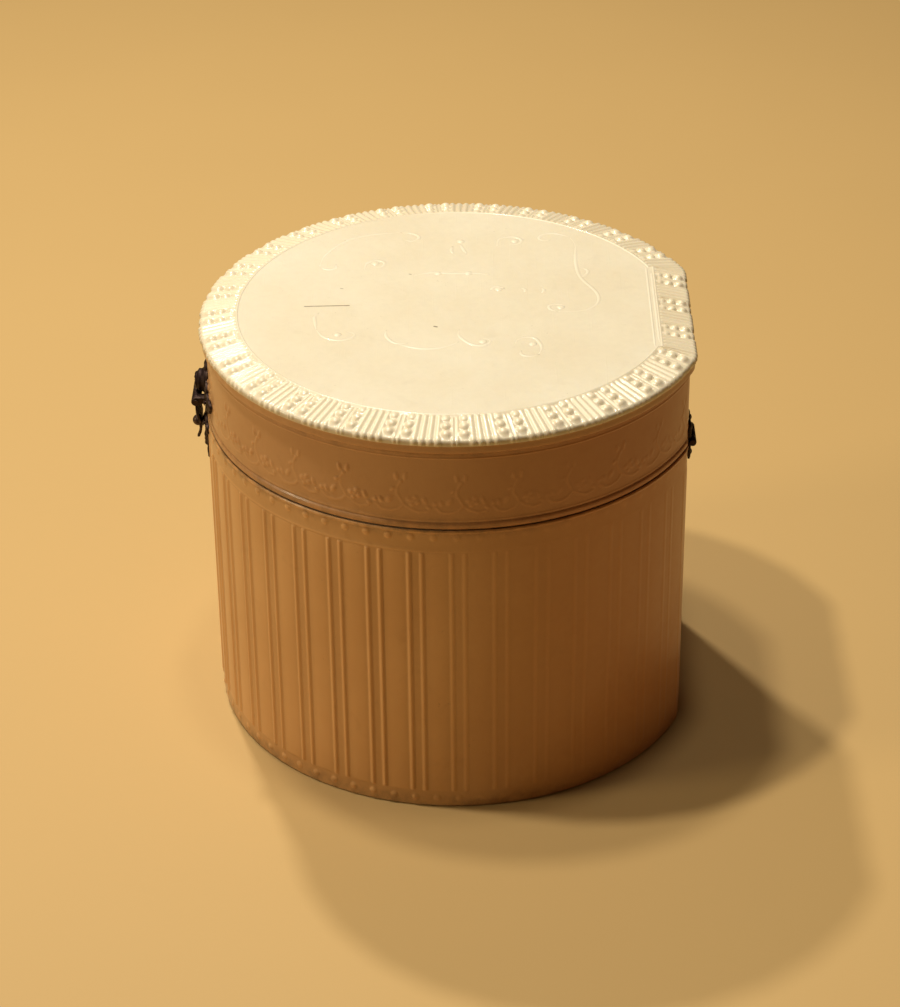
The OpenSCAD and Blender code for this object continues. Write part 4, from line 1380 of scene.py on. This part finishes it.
    def tongue(x, z, depth):
        h = face(x, z, depth)
        round_bar = np.sqrt(np.clip(1 - (x / 1.5) ** 2, 0, 1)) * 1.5
        ends = smooth(z, pz - 18.3, pz - 17.2) * (1 - smooth(z, pz - 13.4, pz - 12.5))
        rings = 1 - 0.14 * np.clip(np.cos((z - pz) * 2 * math.pi / 1.35), 0, 1)
        return np.where(np.abs(x) < 1.5, np.maximum(h, np.minimum(0.25 + round_bar * rings, 1.7) * ends), h)

    catch = joined("catch_stamping", [stamped(
        "catch", catch_outline, (-12.4, pz - 22.8), (12.4, pz - 3.6), 0.22, tongue, on_wall(BODY_R))])
    settle(catch, "body", ["catch_plate"], metal)


def make_hinges():
    """Two stamped hinges on the flat back, each with one leaf on the body and one on the lid."""
    metal = finish_of("dark_bronze")
    for node, side, body in (
            ("left_hinge_body_leaf", -1, "body"), ("left_hinge_lid_leaf", 1, "lid"),
            ("right_hinge_body_leaf", -1, "body"), ("right_hinge_lid_leaf", 1, "lid")):
        low, high = reach(node)
        middle = (low[0] + high[0]) / 2
        half = (high[0] - low[0]) / 2
        far = abs((low[2] if side < 0 else high[2]) - AXIS_Z)
        near = 1.32

        def outline(x, z, m=middle, h=half, s=side, f=far):
            u, w = x - m, (z - AXIS_Z) * s
            body_part = box_gap(u, w, 0, (near + f - 1.2) / 2, h, (f - 1.2 - near) / 2, 0.25)
            lobes = [circle_gap(np.abs(u), w, 3.1, f - 1.75, 1.7), circle_gap(u, w, 0, f - 1.35, 1.33)]
            return together(body_part, *lobes, soft=0.3)

        lines = [([(0.2, 2.2), (3.6, 2.2)], 0.3, 0.16)]
        shape = stamped_face(lines, [(0.0, 3.6, 0.8, 0.15)], 0.42, 0.62, 0.12, 0.8)
        wall_y = low[1] if low[1] > WALL_FLAT else WALL_FLAT + PLATE_GAP
        parts = [stamped(
            "leaf", outline, (low[0] - 0.4, low[2] - 0.4), (high[0] + 0.4, high[2] + 0.4), 0.2,
            lambda x, z, d, m=middle, s=side: shape(x - m, (z - AXIS_Z) * s, d),
            lambda x, z, h, y=wall_y: np.stack([x, y + h, z], 1))]
        inner = 1.75
        spans = [(-inner, inner)] if side > 0 else [(-half, -inner - 0.15), (inner + 0.15, half)]
        for a, b in spans:
            ends = [(a + 0.01, 0.95), (a + 0.14, 1.12), (b - 0.14, 1.12), (b - 0.01, 0.95)]
            parts.append(lathe("knuckle", ends, (middle, AXIS_Y, AXIS_Z), (1, 0, 0), 36))
            web = bmesh.new()
            bmesh.ops.create_cube(web, size=1.0)
            size = Vector((b - a - 0.06, 0.72, 1.5))
            spot = Vector((middle + (a + b) / 2, wall_y + 0.38, AXIS_Z + side * 0.75))
            place = Matrix.Translation(spot * MM) @ Matrix.Diagonal((*(size * MM), 1))
            bmesh.ops.transform(web, matrix=place, verts=web.verts)
            bmesh.ops.bevel(
                web, geom=web.edges[:], offset=0.12 * MM, segments=2, affect="EDGES", profile=0.5)
            mesh = bpy.data.meshes.new("web")
            web.to_mesh(mesh)
            web.free()
            parts.append(mesh)
        settle(joined(node + "_stamping", parts), body, [node], metal)


def finish_frame():
    """Finishes the CAD nodes that stay: boards, papers, pins and nails."""
    for names, key in (
            (("base_board", "body_wall", "lid_wall", "lid_board"), "board"),
            (("base_paper", "lid_crown"), "paper"),
            (("hinge_pins", "hinge_body_nails", "hinge_lid_nails", "clasp_nails", "clasp_pin",
              "catch_nails", "catch_stud"), "pin_bronze")):
        for name in names:
            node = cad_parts[name]
            node.data.materials.clear()
            node.data.materials.append(finish_of(key))


# ---- stage ----

def set_stage():
    """The camera, the pale floor and the warm light."""
    scene = bpy.context.scene
    camera_data = bpy.data.cameras.new("camera")
    camera_data.lens, camera_data.sensor_width = 103.8, 36.0
    camera_data.clip_start, camera_data.clip_end = 0.05, 20
    camera = bpy.data.objects.new("camera", camera_data)
    scene.collection.objects.link(camera)
    target = Vector((0, -0.0018, 0.0597))
    high, turn, roll, away = math.radians(31.40), math.radians(0.64), math.radians(0.659), 0.8862
    back = Vector((math.cos(high) * math.cos(turn), math.cos(high) * math.sin(turn), math.sin(high)))
    right = Vector((0, 0, 1)).cross(back).normalized()
    up = back.cross(right)
    right, up = (right * math.cos(roll) - up * math.sin(roll), up * math.cos(roll) + right * math.sin(roll))
    pose = Matrix((right, up, back)).transposed().to_4x4()
    pose.translation = target + back * away
    camera.matrix_world = pose
    scene.camera = camera

    size = 3.0
    corners = [(-size, -size, 0), (size, -size, 0), (size, size, 0), (-size, size, 0)]
    mesh = bpy.data.meshes.new("floor")
    mesh.from_pydata(corners, [], [(0, 1, 2, 3)])
    floor = add_object("floor", mesh)
    mesh.materials.append(finish_of("floor"))

    for name, spot, energy, width, colour in (
            ("behind", (-0.55, -0.26, 0.97), 5.4, 0.06, (1.0, 0.91, 0.75)),
            ("left_high", (0.02, -0.35, 1.12), 5.0, 0.06, (1.0, 0.91, 0.75)),
            ("above", (0.02, 0.04, 1.30), 2.2, 0.12, (1.0, 0.91, 0.75)),
            ("above_left", (-0.16, -0.20, 1.26), 4.4, 0.10, (1.0, 0.91, 0.75)),
            ("window", (0.45, -1.70, 0.75), 9.0, 0.45, (1.0, 0.85, 0.58))):
        data = bpy.data.lights.new(name, "AREA")
        data.shape, data.size, data.energy, data.color = "DISK", width, energy, colour
        light = bpy.data.objects.new(name, data)
        scene.collection.objects.link(light)
        light.location = spot
        way = Vector((0, 0, 0.06)) - Vector(spot)
        light.rotation_euler = way.to_track_quat("-Z", "Y").to_euler()
    world = bpy.data.worlds.new("room")
    world.use_nodes = True
    world.node_tree.nodes["Background"].inputs["Color"].default_value = (1.0, 0.64, 0.34, 1)
    world.node_tree.nodes["Background"].inputs["Strength"].default_value = 0.05
    scene.world = world
    scene.view_settings.view_transform = "Standard"
    scene.view_settings.look = "None"


# ---- the add-on ----

def length_property(name, description, default):
    return bpy.props.FloatProperty(
        name=name, description=description, default=default, min=0.0, unit="LENGTH", subtype="DISTANCE")


def colour_property(name, description, default):
    return bpy.props.FloatVectorProperty(
        name=name, description=description, default=default, size=3, min=0.0, max=1.0, subtype="COLOR")


class BobbinBoxSizes(bpy.types.PropertyGroup):
    """Heights of the box's relief."""

    bead_height: length_property("Bead height", "Height of the largest beads on the lid", 1.15 * MM)
    rib_height: length_property("Rib height", "Height of the ribs on the lid's border", 0.5 * MM)
    reed_height: length_property("Reed height", "Height of the fillets on the body", 0.46 * MM)
    flower_height: length_property("Flower height", "Height of the flowers on the band", 0.38 * MM)
    scroll_height: length_property("Scroll height", "Height of the scrollwork on the lid", 0.1 * MM)


class BobbinBoxLooks(bpy.types.PropertyGroup):
    """Colours of the box and its stage."""

    lid_colour: colour_property("Lid", "Celluloid of the lid's top", (0.87, 0.80, 0.64))
    lid_toned: colour_property("Lid, toned", "Warmer patches of the lid's top", (0.80, 0.69, 0.50))
    # painted shade: the band's two colours are darker, oranger copies of the ivory, for the shade on the
    # side
    band_colour: colour_property("Band", "Celluloid of the lid's band", (0.61, 0.32, 0.135))
    band_toned: colour_property("Band, toned", "Warmer patches of the band", (0.52, 0.25, 0.092))
    # painted shade: the body's two colours are darker, oranger copies of the ivory, for the shade on the
    # side
    body_colour: colour_property("Body", "Celluloid of the body", (0.69, 0.375, 0.148))
    body_toned: colour_property("Body, toned", "Warmer patches of the body", (0.585, 0.295, 0.102))
    bronze_colour: colour_property("Bronze", "Tarnished bronze", (0.022, 0.011, 0.010))
    bronze_worn: colour_property("Bronze, worn", "Rubbed bronze", (0.24, 0.16, 0.12))
    board_colour: colour_property("Board", "Pasteboard", (0.36, 0.27, 0.17))
    paper_colour: colour_property("Paper", "Brown paper", (0.40, 0.29, 0.17))
    satin_colour: colour_property("Satin", "Faded satin", (0.62, 0.40, 0.31))
    satin_shade: colour_property("Satin, shaded", "Less faded satin", (0.50, 0.27, 0.20))
    floor_colour: colour_property("Floor", "Table top", (0.57, 0.38, 0.15))


class BOBBINBOX_OT_stage(bpy.types.Operator):
    """Sets the camera, the pale floor and the warm light"""

    bl_idname = "bobbin_box.stage"
    bl_label = "Stage"
    bl_options = {"REGISTER", "UNDO"}

    def execute(self, context):
        set_stage()
        return {"FINISHED"}


class BOBBINBOX_OT_lid_top(bpy.types.Operator):
    """Makes the embossed top of the lid, with its border and rolled rim"""

    bl_idname = "bobbin_box.lid_top"
    bl_label = "Lid top"
    bl_options = {"REGISTER", "UNDO"}

    def execute(self, context):
        make_lid_top(context.scene.bobbin_box_sizes)
        return {"FINISHED"}


class BOBBINBOX_OT_scrollwork(bpy.types.Operator):
    """Makes the faint scrollwork on the lid's level centre"""

    bl_idname = "bobbin_box.scrollwork"
    bl_label = "Scrollwork"
    bl_options = {"REGISTER", "UNDO"}

    def execute(self, context):
        make_medallion(context.scene.bobbin_box_sizes)
        return {"FINISHED"}


class BOBBINBOX_OT_lid_band(bpy.types.Operator):
    """Makes the flowered band round the lid"""

    bl_idname = "bobbin_box.lid_band"
    bl_label = "Lid band"
    bl_options = {"REGISTER", "UNDO"}

    def execute(self, context):
        make_lid_band(context.scene.bobbin_box_sizes)
        return {"FINISHED"}


class BOBBINBOX_OT_body_cover(bpy.types.Operator):
    """Makes the reeded sheet round the body"""

    bl_idname = "bobbin_box.body_cover"
    bl_label = "Body cover"
    bl_options = {"REGISTER", "UNDO"}

    def execute(self, context):
        make_body_cover(context.scene.bobbin_box_sizes)
        return {"FINISHED"}


class BOBBINBOX_OT_linings(bpy.types.Operator):
    """Makes the satin pasted inside the body and the lid"""

    bl_idname = "bobbin_box.linings"
    bl_label = "Linings"
    bl_options = {"REGISTER", "UNDO"}

    def execute(self, context):
        make_linings()
        return {"FINISHED"}


class BOBBINBOX_OT_pads(bpy.types.Operator):
    """Makes the padded satin floor and the pad under the lid"""

    bl_idname = "bobbin_box.pads"
    bl_label = "Pads"
    bl_options = {"REGISTER", "UNDO"}

    def execute(self, context):
        make_pads()
        return {"FINISHED"}


class BOBBINBOX_OT_clasp(bpy.types.Operator):
    """Makes the lid's plate, the hasp with its ball, and the catch plate"""

    bl_idname = "bobbin_box.clasp"
    bl_label = "Clasp"
    bl_options = {"REGISTER", "UNDO"}

    def execute(self, context):
        make_clasp()
        return {"FINISHED"}


class BOBBINBOX_OT_hinges(bpy.types.Operator):
    """Makes the leaves of the two hinges on the flat back"""

    bl_idname = "bobbin_box.hinges"
    bl_label = "Hinges"
    bl_options = {"REGISTER", "UNDO"}

    def execute(self, context):
        make_hinges()
        return {"FINISHED"}


class BOBBINBOX_OT_frame_finish(bpy.types.Operator):
    """Finishes the boards, papers, pins and nails of the frame"""

    bl_idname = "bobbin_box.frame_finish"
    bl_label = "Boards and pins"
    bl_options = {"REGISTER", "UNDO"}

    def execute(self, context):
        finish_frame()
        return {"FINISHED"}


STEPS = [
    BOBBINBOX_OT_stage,
    BOBBINBOX_OT_lid_top,
    BOBBINBOX_OT_scrollwork,
    BOBBINBOX_OT_lid_band,
    BOBBINBOX_OT_body_cover,
    BOBBINBOX_OT_linings,
    BOBBINBOX_OT_pads,
    BOBBINBOX_OT_clasp,
    BOBBINBOX_OT_hinges,
    BOBBINBOX_OT_frame_finish,
]


class BOBBINBOX_PT_panel(bpy.types.Panel):
    """Lists the box's operators, sizes and colours."""

    bl_label = "Bobbin box"
    bl_idname = "BOBBINBOX_PT_panel"
    bl_space_type = "VIEW_3D"
    bl_region_type = "UI"
    bl_category = "Bobbin box"

    def draw(self, context):
        for step in STEPS:
            self.layout.operator(step.bl_idname)
        for group in (context.scene.bobbin_box_sizes, context.scene.bobbin_box_looks):
            for key in group.__annotations__:
                self.layout.prop(group, key)


CLASSES = [BobbinBoxSizes, BobbinBoxLooks, *STEPS, BOBBINBOX_PT_panel]


def register():
    for cls in CLASSES:
        bpy.utils.register_class(cls)
    bpy.types.Scene.bobbin_box_sizes = bpy.props.PointerProperty(type=BobbinBoxSizes)
    bpy.types.Scene.bobbin_box_looks = bpy.props.PointerProperty(type=BobbinBoxLooks)


def unregister():
    del bpy.types.Scene.bobbin_box_sizes
    del bpy.types.Scene.bobbin_box_looks
    for cls in reversed(CLASSES):
        bpy.utils.unregister_class(cls)


def main():
    register()
    for step in STEPS:
        getattr(bpy.ops.bobbin_box, step.bl_idname.split(".")[1])()


if __name__ == "__main__":
    main()
